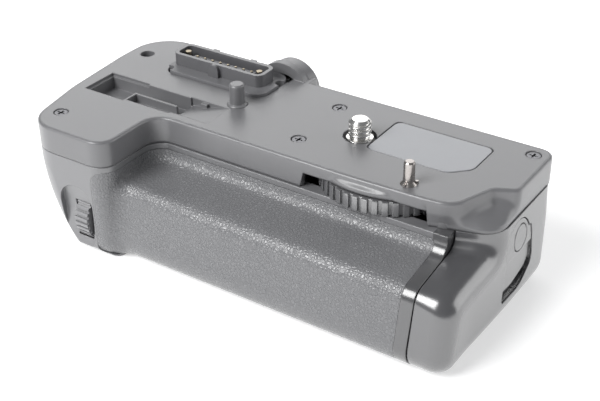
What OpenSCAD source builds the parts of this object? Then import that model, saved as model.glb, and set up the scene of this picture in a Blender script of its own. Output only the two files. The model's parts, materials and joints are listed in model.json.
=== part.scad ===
// Camera battery grip: a handle that screws under a camera and holds its batteries in a sliding tray.
// Plan places are taken from the mounting screw's axis, heights from the top plate; +Z is up, -Y the front.

/* [Case] */
// Height from the base to the top plate
case_h = 38; // [37.5:0.25:39]
// Height of the upper case above the seam
upper_h = 8; // [7.9:0.1:8.4]
// Thickness of the top plate
plate_t = 2; // [1.9:0.1:2.1]
// Wall thickness of both case halves
wall = 2; // [1.8:0.1:2.2]
// Gap between a moving piece and its opening
clear = 0.3; // [0.25:0.05:0.4]
// Gap between a running shaft and its bore
run_gap = 0.05; // [0.03:0.01:0.08]

/* [Rubber] */
// Thickness of the grip rubber
rubber_t = 1.2; // [1:0.1:1.4]
// Gap between the rubber and its seat
skin_gap = 0.05; // [0.03:0.01:0.08]

/* [Camera mount] */
// Outer diameter of the mounting screw's thread
screw_d = 6.35; // [6.3:0.05:6.4]
// Height of the mounting screw above the top plate
screw_h = 6.2; // [5.5:0.1:6.8]
// Thread pitch of the mounting screw and the tripod bush
thread_pitch = 1.27; // [1.25:0.01:1.3]
// Diameter of the metal guide pin
metal_pin_d = 3; // [2.8:0.1:3.2]
// Diameter of the plastic guide pin
plastic_pin_d = 4.4; // [4.2:0.1:4.6]
// Height of both guide pins above the top plate
pin_h = 6.6; // [6:0.1:7]
// Height of the connector shroud above the top plate
shroud_h = 4.7; // [4:0.1:5.2]

/* [Wheel drive] */
// Gear module of the wheel and the pinion
gear_m = 0.7; // [0.69:0.005:0.705]
// Teeth inside the wheel
wheel_teeth = 48; // [48:1:48]
// Teeth on the screw's pinion
pinion_teeth = 12; // [12:1:12]
// Outer radius of the wheel over its ribs
wheel_r = 20.4; // [20.2:0.1:20.6]
// Number of grip ribs on the wheel
wheel_ribs = 46; // [40:1:52]

/* [Dials] */
// Outer radius of the front dial
front_dial_r = 8.6; // [8.4:0.1:8.7]
// Outer radius of the rear dial
rear_dial_r = 8.5; // [8.3:0.1:8.7]
// Width of both dials
dial_w = 4.8; // [4.4:0.1:5]
// Radius of both dial axles
axle_r = 1.2; // [1:0.1:1.4]

/* [Buttons] */
// Radius of the shutter button
shutter_r = 5; // [4.8:0.1:5.1]
// Travel of the shutter button
shutter_travel = 1.2; // [0.8:0.1:1.3]
// Radius of the hold button
hold_r = 3.4; // [3.2:0.1:3.6]
// Radius of the selector housing
selector_r = 8.8; // [8.6:0.1:9]

/* [Tray] */
// Gap between the tray and the bay, all round
tray_gap = 0.35; // [0.3:0.05:0.45]
// Length of the tray inside the bay
tray_len = 83; // [82.4:0.2:83.2]
// Thickness of the walls between and around the battery pockets
tray_wall = 1.6; // [1.4:0.1:1.8]

/* [Hidden] */
$fn = 96;
// how far a rounding circle reaches over its tangent points
arc_over = 0.001;

// place of the screw's axis in the frame
screw_x = 20.2;
screw_y = 7.9;

// ends and walls of the case
left_x = -90.4;
right_x = 49.1;
cap_x = 38.3;
front_y = -20.5;
back_y = 20.5;
block_front = -43;
block_back = 24;
step_x = -25.5;
front_x = -83.6;
// the left end draws in below the seam by an arc, along its slanted side
end_r = 53;
end_a = 11.5;
// rounding of its front corner: middle at the seam, the arc that it follows down, radius
corner_at = [-75.4, -33];
corner_run = 42.3;
corner_r = 10;
shell_in = rubber_t + wall;
floor_z = -case_h;
hollow_z = floor_z + shell_in;

// corner points of the top plate and their radii, anticlockwise from the front left
plan_p = [[front_x, block_front], [-55.7, block_front], [-55.7, front_y], [8, front_y], [33, -19.6],
          [48.9, -14.2], [right_x, back_y], [step_x, back_y], [step_x, block_back],
          [left_x, block_back], [left_x, 5], [-88.2, -20]];
plan_r = [10, 5.5, 6, 0, 0, 4.5, 4, 1.5, 1.5, 12, 60, 40];
// the left block of the lower case keeps the same line
low_p = [[front_x, block_front], [-55.7, block_front], [-55.7, front_y - 0.3], [-44, front_y - 0.3],
         [-44, 0], [step_x, 0], [step_x, block_back], [left_x, block_back], [left_x, 5], [-88.2, -20]];
low_r = [10, 5.5, 6, 0, 0, 0, 1.5, 12, 60, 40];
// side view of the handle: lip, shelf, front face and base
side_p = [[front_y - 0.5, -upper_h], [front_y - 0.5, -12.9], [-37.3, -15.3], [-42.4, floor_z],
          [back_y, floor_z], [back_y, -upper_h]];
side_r = [0, 4, 4.5, 6.5, 6, 0];
// side view of the tray's end cap
cap_top = -upper_h - clear;
cap_side_p = [[-18.2, cap_top], [-18.2, -12.5], [-37.3, -15.3], [-42.4, floor_z],
              [back_y, floor_z], [back_y, cap_top]];
cap_side_r = [0, 3.5, 4.5, 6.5, 6, 0];
// plan of the end cap's outer end
cap_p = [[30, -41.4], [48, -41.4], [49.6, -10], [50, 4], [49.4, back_y + 2], [30, back_y + 2]];
cap_r = [0, 7, 0, 0, 6, 0];

// battery bay
bay_end_gap = 2.1;
bay_x = cap_x + clear - tray_len - bay_end_gap;
bay_top = -17.4;
bay_floor = floor_z + 1.8;
bay_back = 7.5;
bay_p = [[-34.3, bay_top], [-38.6, bay_floor], [bay_back, bay_floor], [bay_back, bay_top]];
bay_r = [2, 6, 2, 2];
deck_z = bay_top + 2;
post_inset = 2;

// wheel drive
wheel_at = [12.3, -2.75];
wheel_ang = atan2(-wheel_at[1], -wheel_at[0]);
gear_a = gear_m * (wheel_teeth - pinion_teeth) / 2;
wheel_c = gear_a * [-cos(wheel_ang), -sin(wheel_ang)];
wheel_top = -3.7;
wheel_low = -upper_h + 0.2;
gear_low = wheel_top - 2.8;
plate_top = -upper_h;
plate_low = plate_top - 1.2;
guide_r = 17.8;
shaft_r = 2.2;
journal_r = 4.05;

// tripod bush in the base
bush_y = 13.6;
bush_r = 4.2;
bush_h = 7.5;

// fastener places
case_screw_at = [[-79.4, -33.8, -1.2], [-84.1, 10.2, -3.6], [-13.2, -10.5, -1.2],
                 [-13.5, 11.3, -1.2], [44.4, 15.7, -1.2]];
plate_screw_at = [33.4, 10];
screw_head_r = 1.9;
screw_shank_r = 1;

// contact cap recess, connector and label
recess_z = -4.6;
conn_x = [-71.5, -38.6];
conn_y = [7.4, 15.7];
label_c = [19.55, 4.05];
label_s = [30, 18.2];
label_t = 0.6;

// front dial and its scoop
fdial_at = [-66.9, block_front - 0.4 + front_dial_r, -28];
scoop_x = -68.2;
rdial_at = [-72, block_back + 1.5 - rear_dial_r, -22];
slot_w = dial_w + 1;

// shutter button on the left end
shut_at = [-85.5, -22, -19.5];
shut_floor = shut_at[0] + 2.6;
shut_back = shut_at[0] + 7.7;
ring_in = 6;

// hold button and selector on the back
hold_at = [-58, -16];
hold_room = hold_r + 2;
sel_at = [-38.2, 23.4, -4.9];
sel_seat = 21.9;
sel_face = 25.6;

// latch on the end cap
hub_at = [-4.4, -15.2];
hub_r = 5.8;
tab_hinge = [47.3, -21.6];
bolt_x = 39.8;
bolt_y = -4.4;
bolt_top = -upper_h - 0.9;

function unit(v) = v / norm(v);
function turn(a, b, c) = (b[0] - a[0]) * (c[1] - b[1]) - (b[1] - a[1]) * (c[0] - b[0]);
function nrm(a, b) = [a[1] - b[1], b[0] - a[0]] / norm(b - a);
function inset_pt(a, b, c, d) = b + d * (nrm(a, b) + nrm(b, c)) / (1 + nrm(a, b) * nrm(b, c));
function inset_p(p, d) = [for (i = [0:len(p) - 1])
    inset_pt(p[(i + len(p) - 1) % len(p)], p[i], p[(i + 1) % len(p)], d)];
function inset_r(p, r, d) = [for (i = [0:len(p) - 1])
    r[i] == 0 ? 0 :
    turn(p[(i + len(p) - 1) % len(p)], p[i], p[(i + 1) % len(p)]) > 0 ? max(0, r[i] - d) : r[i] + d];

// where an arc of radius r leaves the corner b on the way to a, and the arc's centre
function tangent_pt(a, b, c, r) = b + unit(a - b) * r / tan(acos(unit(a - b) * unit(c - b)) / 2);
function arc_centre(a, b, c, r) = b + unit(unit(a - b) + unit(c - b)) * r
    / sin(acos(unit(a - b) * unit(c - b)) / 2);

// the sliver between an outer corner and its rounding circle
module corner(a, b, c, r) {
    difference() {
        polygon([tangent_pt(a, b, c, r), b - unit(unit(a - b) + unit(c - b)) * 0.4, tangent_pt(c, b, a, r)]);
        translate(arc_centre(a, b, c, r)) circle(r + arc_over);
    }
}

// polygon with a true arc at each corner that has a radius
module rounded(p, r) {
    n = len(p);
    q = [for (i = [0:n - 1]) [p[(i + n - 1) % n], p[i], p[(i + 1) % n]]];
    difference() {
        polygon([for (i = [0:n - 1])
            each r[i] > 0 && turn(q[i][0], q[i][1], q[i][2]) < 0
                ? [tangent_pt(q[i][0], q[i][1], q[i][2], r[i]), tangent_pt(q[i][2], q[i][1], q[i][0], r[i])]
                : [p[i]]]);
        for (i = [0:n - 1]) if (r[i] > 0) {
            if (turn(q[i][0], q[i][1], q[i][2]) > 0) corner(q[i][0], q[i][1], q[i][2], r[i]);
            else translate(arc_centre(q[i][0], q[i][1], q[i][2], r[i])) circle(r[i] + arc_over);
        }
    }
}

module inset_shape(p, r, d) {
    rounded(inset_p(p, d), inset_r(p, r, d));
}

// rectangle between two corners with rounded corners
module pad2(x0, y0, x1, y1, r) {
    rounded([[x0, y0], [x1, y0], [x1, y1], [x0, y1]], [r, r, r, r]);
}

// box between two corners
module block(a, b) {
    translate(a) cube(b - a);
}

// side view (y, z) drawn out along X
module along_x(x0, x1) {
    translate([x0, 0, 0]) rotate([90, 0, 90]) linear_extrude(x1 - x0) children();
}

// front view (x, z) drawn out along Y, from y0 back to y1
module along_y(y0, y1) {
    translate([0, y1, 0]) rotate([90, 0, 0]) linear_extrude(y1 - y0) children();
}

module rod_x(r, x0, x1) {
    translate([x0, 0, 0]) rotate([0, 90, 0]) cylinder(r = r, h = x1 - x0);
}

module rod_y(r, y0, y1) {
    translate([0, y1, 0]) rotate([90, 0, 0]) cylinder(r = r, h = y1 - y0);
}

module place() {
    translate([screw_x, screw_y, case_h]) children();
}

// outline of a toothed wheel: half tooth angle follows the involute, play widens or thins the tooth
function inv_deg(a) = tan(a) * 180 / PI - a;
function half_tooth(n, r, rp, play) = 90 / n + play / rp * 90 / PI + inv_deg(25)
    - inv_deg(acos(min(1, rp * cos(25) / r)));
function polar(r, a) = r * [cos(a), sin(a)];
function tooth_pts(n, r0, r1, rp, play, at) = [for (k = [0:n - 1]) let (c = at + 360 * k / n)
    each concat([for (i = [0:3]) let (r = r0 + (r1 - r0) * i / 3) polar(r, c - half_tooth(n, r, rp, play))],
                [for (i = [3:-1:0]) let (r = r0 + (r1 - r0) * i / 3)
                    polar(r, c + half_tooth(n, r, rp, play))])];

// handle part of the lower case, set in by d
module handle_body(d) {
    along_x(d > 0 ? -66 : -62, d > 0 ? cap_x + 2 : cap_x) inset_shape(side_p, side_r, d);
}

// what the rounded front corner of the left block takes away below the seam
module corner_waste(d) {
    intersection() {
        translate([corner_at[0] + corner_run, corner_at[1], -upper_h]) rotate([-90, 0, 0])
            rotate_extrude($fn = 180) difference() {
                translate([corner_run, -30]) square([30, 28]);
                translate([corner_run, 0]) circle(corner_r + 0.08 - d, $fn = 96);
            }
        block([-120, -70, -60], [corner_at[0] + corner_run, -20, -upper_h]);
    }
}

// left block of the lower case, set in by d
module left_body(d, top) {
    difference() {
        left_form(d, top);
        corner_waste(d);
    }
}

// the left block before its corner is rounded
module left_form(d, top) {
    intersection() {
        translate([0, 0, floor_z - 4]) linear_extrude(top - floor_z + 4) inset_shape(low_p, low_r, d);
        translate([front_x - 0.2, block_front, 0]) rotate([0, 0, end_a]) along_y(-40, 100) intersection() {
            translate([end_r, -upper_h]) circle(end_r - d, $fn = 180);
            polygon([[-40, 20], [-40, floor_z + 4.2 + d], [6.3 + d, floor_z + 4.2 + d],
                     [8.4 + d, floor_z + 1.6 + d], [12.5 + d, floor_z + d - 0.4],
                     [90, floor_z + d - 0.4], [90, 20]]);
        }
        along_x(-120, 60)
            rounded([[block_front - 0.6 + d, floor_z + d], [block_back + 4 - d, floor_z + d],
                     [block_back + 4 - d, 10], [block_front - 0.6 + d, 10]], [5 - d, 10 - d, 0, 0]);
    }
}

// outer form of the lower case, set in by d
module lower_body(d, top) {
    handle_body(d);
    left_body(d, top);
}

// window that the grip rubber fills, seen from the front
module rubber_window(g) {
    along_y(-60, -10)
        rounded([[-61.6 - g, floor_z + 1 - g], [34.7 + g, floor_z + 1 - g], [34.7 + g, -9.8 + g],
                 [-61.6 - g, -9.8 + g]], [3 + g, 1 + g, 1.5 + g, 4 + g]);
}

// post with a pilot hole for a case screw
module post(at, z0, z1) {
    translate([at[0], at[1], z0]) cylinder(r = 3, h = z1 - z0);
}

// ridges of a thread as rings, from z = 0 up
function ridge_pts(r, d, n) = concat([[0, 0], [r - d, 0]],
    [for (i = [0:n - 1]) each [[r, (i + 0.36) * thread_pitch], [r, (i + 0.64) * thread_pitch],
                               [r - d, (i + 1) * thread_pitch]]],
    [[0, n * thread_pitch]]);

module recess_cuts() {
    // long slot with its wider left part and the stepped rim
    block([-83.4, -12.8, recess_z], [-52.8, -6.8, 1]);
    block([-83.4, -17.8, recess_z], [-69.3, -12, 1]);
    block([-84.1, -18.5, -0.9], [-69.3, -6.1, 1]);
    // shallow notch in front of the thin ridge
    block([-68.6, -17.8, -2.6], [-52.8, -13.5, 1]);
    // ramp up to the plate
    along_y(-17, -6.3) polygon([[-53.4, 1], [-53.4, -2.6], [-52.8, -2.6], [-39.7, -0.05], [-39.7, 1]]);
}

module label_shape(g) {
    w = label_s[0] / 2 + g;
    h = label_s[1] / 2 + g;
    translate(label_c) rounded([[-w, -h], [w - 5, -h], [w, -h + 5], [w, h], [-w, h]], [2, 4, 4, 2, 2]);
}

module gasket_shape(g) {
    pad2(-72 - g, 3.2 - g, -35.6 + g, 19.2 + g, 4 + g);
}

module upper_case() color([0.32, 0.32, 0.34]) place() {
    difference() {
        union() {
            difference() {
                union() {
                    translate([0, 0, -upper_h]) linear_extrude(upper_h) rounded(plan_p, plan_r);
                    // brow over the wheel slot
                    intersection() {
                        translate([12.6, front_y - 1.35 + 33.4, wheel_top + clear])
                            cylinder(r1 = 33.4, r2 = 31.9, h = 3.2);
                        block([0, -25, wheel_top + clear], [25.5, -19, 0]);
                    }
                    // front half of the selector hump
                    intersection() {
                        translate([sel_at[0] - 0.6, 0, -4.6]) rod_y(9, 19.4, sel_seat);
                        block([-60, 10, -1], [-20, 30, 10]);
                    }
                }
                // hollow, left solid behind the thumb scoop
                translate([0, 0, -upper_h - 1]) linear_extrude(upper_h + 1 - plate_t) difference() {
                    inset_shape(plan_p, plan_r, wall);
                    translate([37.2, -30]) square([20, 25.4]);
                }
            }
            // floor under the contact cap recess
            block([-85.4, -19.6, recess_z - 1.4], [-37.9, -4.6, -1]);
            // screw bosses and pads over the wheel
            for (s = case_screw_at) post(s, -upper_h, -1);
            translate([plate_screw_at[0], plate_screw_at[1], -upper_h]) cylinder(r = 2.6, h = upper_h - 1);
            for (a = [50, 100, -15]) translate(concat(wheel_c + polar(18.4, a), [wheel_top + 0.2]))
                cylinder(r = 1.2, h = 2.7);
            // seat of the selector housing
            intersection() {
                translate([sel_at[0], 0, sel_at[2]]) rod_y(12.3, 19.9, sel_seat);
                block([-60, 10, -upper_h], [-20, 30, -1]);
            }
        }
        translate([49.6, -13.6, 2.5]) sphere(8.7);
        recess_cuts();
        // wheel slot
        block([-6, -26, -upper_h - 1], [31.4, -17, wheel_top + clear]);
        // label, gasket and connector places
        translate([0, 0, -label_t]) linear_extrude(2) label_shape(0.1);
        translate([0, 0, -1.2]) linear_extrude(3) gasket_shape(0.1);
        translate([0, 0, -3]) linear_extrude(5) pad2(conn_x[0], conn_y[0], conn_x[1], conn_y[1], 2.4);
        // screw journal, guide pins
        translate([0, 0, -5]) cylinder(r = journal_r + run_gap, h = 7);
        translate([23.6, -15.1, -5]) cylinder(r = metal_pin_d / 2, h = 7);
        translate([-39.6, -2.7, -5]) cylinder(r = plastic_pin_d / 2, h = 7);
        // counterbores and shanks of the case screws
        for (s = case_screw_at) {
            translate(s) cylinder(r = screw_head_r + clear, h = 6);
            translate([s[0], s[1], -upper_h - 1]) cylinder(r = screw_shank_r + run_gap, h = upper_h + 2);
        }
        translate([plate_screw_at[0], plate_screw_at[1], -upper_h - 1]) cylinder(r = screw_shank_r, h = 5.2);
        // selector housing and its opening
        translate([sel_at[0], 0, sel_at[2]]) rod_y(selector_r + skin_gap, sel_seat, 40);
        translate([sel_at[0], 0, sel_at[2]]) rod_y(5.8, 17, 30);
    }
    // clip on the back wall of the contact cap recess
    block([-49.4, -7.4, -2.4], [-47.2, -6.2, -0.5]);
}

// ears that carry a dial's axle, w apart
module ears(at, y0, y1) {
    for (k = [-1, 1]) translate([at[0] + k * (slot_w / 2 + 0.8) - 0.8, y0, at[2] - 3])
        cube([1.6, y1 - y0, 6]);
}

module scoop() {
    intersection() {
        translate([0, block_front - 30.6 + 1.9, -27]) rod_x(30.6, scoop_x - 7, scoop_x + 7);
        along_y(-50, -38) pad2(scoop_x - 6.1, -37.4, scoop_x + 6.1, -16.6, 6);
    }
}

module lower_case() color([0.27, 0.27, 0.29]) place() {
    difference() {
        union() {
            difference() {
                lower_body(0, -upper_h);
                // seat of the grip rubber
                difference() {
                    rubber_window(skin_gap);
                    lower_body(rubber_t + skin_gap, 5);
                }
                // hollow of the left block
                intersection() {
                    translate([0, 0, hollow_z]) linear_extrude(case_h)
                        pad2(shut_back, block_front + shell_in, -55.7 - shell_in, block_back - shell_in, 4);
                    left_body(shell_in, 5);
                }
                block([-66, -17.3, hollow_z], [bay_x - wall, block_back - shell_in, 5]);
                block([-61, -33, hollow_z], [bay_x - wall, -16, -18.6]);
                // room behind the hold button
                block([hold_at[0] - hold_room, bay_back + wall, hold_at[1] - hold_room],
                      [hold_at[0] + hold_room, block_back - shell_in, hold_at[1] + hold_room]);
                // space over the deck, rear space and battery bay
                block([bay_x - wall - 0.5, -17.3, deck_z], [step_x - wall, block_back - shell_in, 5]);
                block([step_x - wall - 0.5, -17.3, deck_z], [cap_x - wall, back_y - wall, 5]);
                block([bay_x - wall - 0.5, bay_back + wall, bay_floor + 0.6],
                      [cap_x - wall, back_y - wall, 5]);
                along_x(bay_x, cap_x + 1) rounded(bay_p, bay_r);
            }
            translate([case_screw_at[0][0], case_screw_at[0][1], -20]) cylinder(r = 2.6, h = 20 - upper_h);
            post(case_screw_at[2], deck_z - 1, plate_low);
            post(case_screw_at[3], bay_floor, plate_low);
            for (x = [bay_x + post_inset, -31], y = [-1, 6]) translate([x, y, deck_z - 1])
                cylinder(r = 2, h = -11.4 - deck_z + 1);
            translate([0, bush_y, floor_z + 1]) cylinder(r = bush_r + 1.4, h = bush_h - 0.1);
            ears(fdial_at, block_front + 1, fdial_at[1] + 3);
            ears(rdial_at, rdial_at[1] - 3, block_back - 1);
            intersection() {
                translate([sel_at[0], 0, sel_at[2]]) rod_y(12.3, 19.9, sel_seat);
                block([-60, 0, -30], [-20, 30, -upper_h]);
            }
            // deck tongue over the end cap
            block([cap_x - wall - 0.5, -8, -11], [41.6, 9, -upper_h]);
            block([cap_x - wall - 0.5, 8.5, -11], [46.4, 17.8, -upper_h]);
        }
        scoop();
        // dial slots and axle holes
        translate([0, fdial_at[1], fdial_at[2]]) {
            rod_x(front_dial_r + 0.4, fdial_at[0] - slot_w / 2, fdial_at[0] + slot_w / 2);
            rod_x(axle_r, fdial_at[0] - 6, fdial_at[0] + 6);
        }
        translate([0, rdial_at[1], rdial_at[2]]) {
            rod_x(rear_dial_r + 0.4, rdial_at[0] - slot_w / 2, rdial_at[0] + slot_w / 2);
            rod_x(axle_r, rdial_at[0] - 6, rdial_at[0] + 6);
        }
        // shutter pocket and bore
        translate([0, shut_at[1], shut_at[2]]) {
            rod_x(9, -96, shut_floor);
            rod_x(shutter_r + 0.08, -96, shut_back + 1);
        }
        // hold button bore
        translate([hold_at[0], 0, hold_at[1]]) rod_y(hold_r + 0.08, 18, 30);
        // selector housing and its opening
        translate([sel_at[0], 0, sel_at[2]]) {
            rod_y(selector_r + skin_gap, sel_seat, 40);
            rod_y(5.8, 17, 30);
        }
        // pilot holes of the case screws
        for (s = case_screw_at) translate([s[0], s[1], s[2] - 11.5]) cylinder(r = screw_shank_r, h = 12);
        // contact pins through the bay wall
        for (y = [-24:6:-6]) translate([0, y, -26]) rod_x(1.2, bay_x - wall - 1, bay_x + 1);
        // tripod bush
        translate([0, bush_y, floor_z - 1]) cylinder(r = bush_r, h = bush_h + 1);
        // catch for the latch bolt, open toward the end
        block([bolt_x - clear, bolt_y - 2.5 - clear, -12], [45, bolt_y + 2.5 + clear, 0]);
    }
    // collar that the shutter lock turns on, with its snap lip
    translate([0, shut_at[1], shut_at[2]]) difference() {
        union() {
            rod_x(ring_in, shut_at[0] + 0.8, shut_floor + 0.5);
            rod_x(ring_in + 0.25, shut_at[0] + 0.4, shut_at[0] + 0.8);
        }
        rod_x(shutter_r + 0.08, shut_at[0] - 2, shut_back);
    }
}

module grip_rubber() color([0.2, 0.2, 0.21]) place() {
    intersection() {
        difference() {
            lower_body(0, -upper_h);
            lower_body(rubber_t, 5);
        }
        rubber_window(0);
    }
}

module label_plate() color([0.62, 0.64, 0.68]) place() {
    translate([0, 0, -label_t]) linear_extrude(label_t) label_shape(0);
}

module connector_gasket() color([0.24, 0.24, 0.25]) place() difference() {
    translate([0, 0, -1.2]) linear_extrude(2.1) gasket_shape(0);
    translate([0, 0, -3]) linear_extrude(6) pad2(conn_x[0], conn_y[0], conn_x[1], conn_y[1], 2.4);
    translate([-70.8, 4.6, -0.9]) cylinder(r = 1.6, h = 5);
    translate([-36, 14, -0.9]) cylinder(r = 1.6, h = 5);
}

conn_pin_x = [for (i = [0:7]) -65 + 2.9 * i];

module connector_shroud() color([0.22, 0.22, 0.24]) place() difference() {
    union() {
        difference() {
            translate([0, 0, -6]) linear_extrude(6 + shroud_h)
                pad2(conn_x[0], conn_y[0], conn_x[1], conn_y[1], 2.4);
            translate([0, 0, -1]) linear_extrude(20)
                pad2(conn_x[0] + 1.2, conn_y[0] + 1.2, conn_x[1] - 1.2, conn_y[1] - 1.2, 1.4);
        }
        // flange under the top plate
        translate([0, 0, -3.6]) linear_extrude(3.6 - plate_t)
            pad2(conn_x[0] - 1.4, conn_y[0] - 1.4, conn_x[1] + 1.4, conn_y[1] + 1.4, 3);
        // tongue that carries the contacts
        block([-66.5, 10.4, -1.5], [-43.6, 12.7, shroud_h - 1.7]);
        // key on the front face and two stops on the back edge
        block([-57, conn_y[0] - 1.1, 0.9], [-53.4, conn_y[0] + 0.5, 3]);
        translate([-55.2, 0, 3]) rod_y(1.8, conn_y[0] - 1.1, conn_y[0] + 0.5);
        for (x = [-62, -48]) block([x, conn_y[1] - 0.5, 1], [x + 2, conn_y[1] + 0.7, shroud_h]);
    }
    for (x = conn_pin_x) translate([x, 11.55, -8]) cylinder(r = 0.4, h = 20);
    for (x = [-68.4, -41.8]) translate([x, 11.55, -8]) cylinder(r = 0.9, h = 20);
}

module connector_contacts() color([0.86, 0.82, 0.7]) place() {
    for (x = conn_pin_x) translate([x, 11.55, -9.8]) cylinder(r = 0.4, h = 9.8 + shroud_h - 1.2);
    for (x = [-68.4, -41.8]) translate([x, 11.55, -9.8]) cylinder(r = 0.9, h = 9.8 + shroud_h - 0.4);
}

module guide_pin_plastic() color([0.3, 0.3, 0.32]) place() translate([-39.6, -2.7, 0]) {
    translate([0, 0, -plate_t - 1]) cylinder(r = plastic_pin_d / 2, h = plate_t + 1 + pin_h - 0.4);
    translate([0, 0, pin_h - 0.4]) cylinder(r1 = plastic_pin_d / 2, r2 = plastic_pin_d / 2 - 0.4, h = 0.4);
    cylinder(r1 = 3.1, r2 = 2.5, h = 0.5);
}

module guide_pin_metal() color([0.8, 0.79, 0.77]) place() translate([23.6, -15.1, 0]) {
    translate([0, 0, -plate_t]) cylinder(r = metal_pin_d / 2, h = plate_t + pin_h - 0.4);
    translate([0, 0, pin_h - 0.4]) cylinder(r1 = metal_pin_d / 2, r2 = metal_pin_d / 2 - 0.4, h = 0.4);
    cylinder(r1 = 2.3, r2 = metal_pin_d / 2, h = 0.8);
    for (a = [30, 150, 270]) rotate(a) translate([2.1, 0, 0]) cylinder(r = 0.45, h = 0.9);
}

module case_screws() color([0.25, 0.25, 0.27]) place() for (s = case_screw_at) translate(s) {
    difference() {
        cylinder(r = screw_head_r, h = 1);
        translate([-1.2, -0.25, 0.4]) cube([2.4, 0.5, 1]);
        translate([-0.25, -1.2, 0.4]) cube([0.5, 2.4, 1]);
    }
    translate([0, 0, -11.5]) cylinder(r = screw_shank_r, h = 11.6);
}

module plate_shape() {
    // cut straight behind the front lip of the lower case
    intersection() {
        translate(wheel_c) circle(19.6);
        translate([-60, -17]) square([120, 60]);
    }
    for (q = [case_screw_at[2], case_screw_at[3], [plate_screw_at[0], plate_screw_at[1], 0]]) {
        d = unit([q[0], q[1]] - wheel_c);
        w = [-d[1], d[0]] * 2.4;
        translate([q[0], q[1]]) circle(2.4);
        polygon([wheel_c + w, wheel_c - w, [q[0], q[1]] - w, [q[0], q[1]] + w]);
    }
}

module wheel_plate() color([0.7, 0.71, 0.72]) place() difference() {
    union() {
        translate([0, 0, plate_low]) linear_extrude(plate_top - plate_low) plate_shape();
        translate(concat(wheel_c, [plate_top])) cylinder(r = guide_r, h = gear_low - 0.2 - plate_top);
    }
    translate(concat(wheel_c, [plate_top])) cylinder(r = guide_r - 1.2, h = 5);
    translate([0, 0, -20]) cylinder(r = shaft_r + run_gap, h = 20);
    for (i = [2, 3]) translate([case_screw_at[i][0], case_screw_at[i][1], -20])
        cylinder(r = screw_shank_r + run_gap, h = 20);
    translate([plate_screw_at[0], plate_screw_at[1], -20]) cylinder(r = screw_shank_r + run_gap, h = 20);
}

module plate_screw() color([0.6, 0.6, 0.62]) place() translate([plate_screw_at[0], plate_screw_at[1], 0]) {
    translate([0, 0, plate_low - 1]) cylinder(r = screw_head_r, h = 1);
    translate([0, 0, plate_low - 0.1]) cylinder(r = screw_shank_r, h = 4.6);
}

module tripod_bush() color([0.78, 0.68, 0.42]) place() translate([0, bush_y, floor_z]) difference() {
    cylinder(r = bush_r, h = bush_h);
    translate([0, 0, -1]) cylinder(r = screw_d / 2, h = bush_h + 0.3);
    // thread grooves between the flats of the bore
    groove = [[-0.1, 0.15], [0, 0.15], [0.45, 0.5], [0, 0.85], [-0.1, 0.85]];
    for (i = [0:4]) rotate_extrude()
        polygon([for (q = groove) [screw_d / 2 + q[0], (i + q[1]) * thread_pitch]]);
}

module main_board() color([0.1, 0.36, 0.2]) place() {
    block([-76, -4, -11.4], [-28, 19.4, -9.8]);
    block([-70, -2, -9.9], [-62, 4, -8.6]);
    block([-56, -2, -9.9], [-50, 3, -8.8]);
}

module contact_block() color([0.2, 0.2, 0.2]) place() difference() {
    block([bay_x - wall - 4, -28, -31], [bay_x - wall, -2, -21]);
    for (y = [-24:6:-6]) translate([0, y, -26]) rod_x(0.8, bay_x - wall - 3.5, bay_x);
}

module contact_pins() color([0.85, 0.72, 0.35]) place() for (y = [-24:6:-6]) translate([0, y, -26])
    rod_x(0.8, bay_x - wall - 3.5, cap_x + clear - tray_len - 0.1);

module front_axle() color([0.75, 0.75, 0.76]) place() translate([0, fdial_at[1], fdial_at[2]])
    rod_x(axle_r, fdial_at[0] - slot_w / 2 - 1.6, fdial_at[0] + slot_w / 2 + 1.6);

module rear_axle() color([0.75, 0.75, 0.76]) place() translate([0, rdial_at[1], rdial_at[2]])
    rod_x(axle_r, rdial_at[0] - slot_w / 2 - 1.6, rdial_at[0] + slot_w / 2 + 1.6);

module dial(r, notches) {
    along_x(-dial_w / 2, dial_w / 2) difference() {
        circle(r);
        circle(axle_r + run_gap);
        for (k = [0:notches - 1]) rotate(360 * k / notches) translate([r - 0.6, -0.4]) square([2, 0.8]);
    }
}

module front_dial() color([0.16, 0.16, 0.17]) place() translate(fdial_at) dial(front_dial_r, 30);

module rear_dial() color([0.16, 0.16, 0.17]) place() translate(rdial_at) dial(rear_dial_r, 30);

module shutter_switch() color([0.18, 0.18, 0.2]) place() {
    block([shut_back + 3.5, shut_at[1] - 3, shut_at[2] - 3],
          [shut_back + 7, shut_at[1] + 3, shut_at[2] + 3]);
    block([shut_back + 5.4, shut_at[1] - 2, hollow_z], [shut_back + 7, shut_at[1] + 2, shut_at[2] - 2]);
}

module shutter_button() color([0.4, 0.4, 0.42]) place() translate([0, shut_at[1], shut_at[2]]) {
    difference() {
        rod_x(shutter_r, shut_at[0] - 0.6, shut_back + 0.3);
        rotate([0, -90, 0]) rotate_extrude() translate([0, 24 + 0.2 - shut_at[0]]) difference() {
            circle(24);
            translate([-30, -30]) square([30, 60]);
        }
    }
    rod_x(6.4, shut_back + 0.2, shut_back + 1.4);
    rod_x(1.5, shut_back + 1, shut_back + 2.1);
}

module shutter_lock() color([0.18, 0.18, 0.19]) place() translate([0, shut_at[1], shut_at[2]]) {
    difference() {
        rod_x(8.7, shut_at[0] + 0.5, shut_floor - 0.1);
        rod_x(ring_in + run_gap, shut_at[0] - 2, shut_back);
        rod_x(ring_in + 0.4, shut_at[0] - 2, shut_at[0] + 0.9);
    }
    for (a = [-1, 0, 1]) rotate([a * 9, 0, 0]) block([shut_at[0] - 0.7, -0.4, 7], [shut_at[0] + 0.6, 0.4, 8.5]);
}

module hold_button() color([0.2, 0.2, 0.21]) place() translate([hold_at[0], 0, hold_at[1]]) {
    rod_y(hold_r, 20.5, block_back + 1.1);
    rod_y(hold_r + 1.2, 19.2, block_back - shell_in - 0.2);
    rod_y(1.2, 17.8, 19.3);
}

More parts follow.
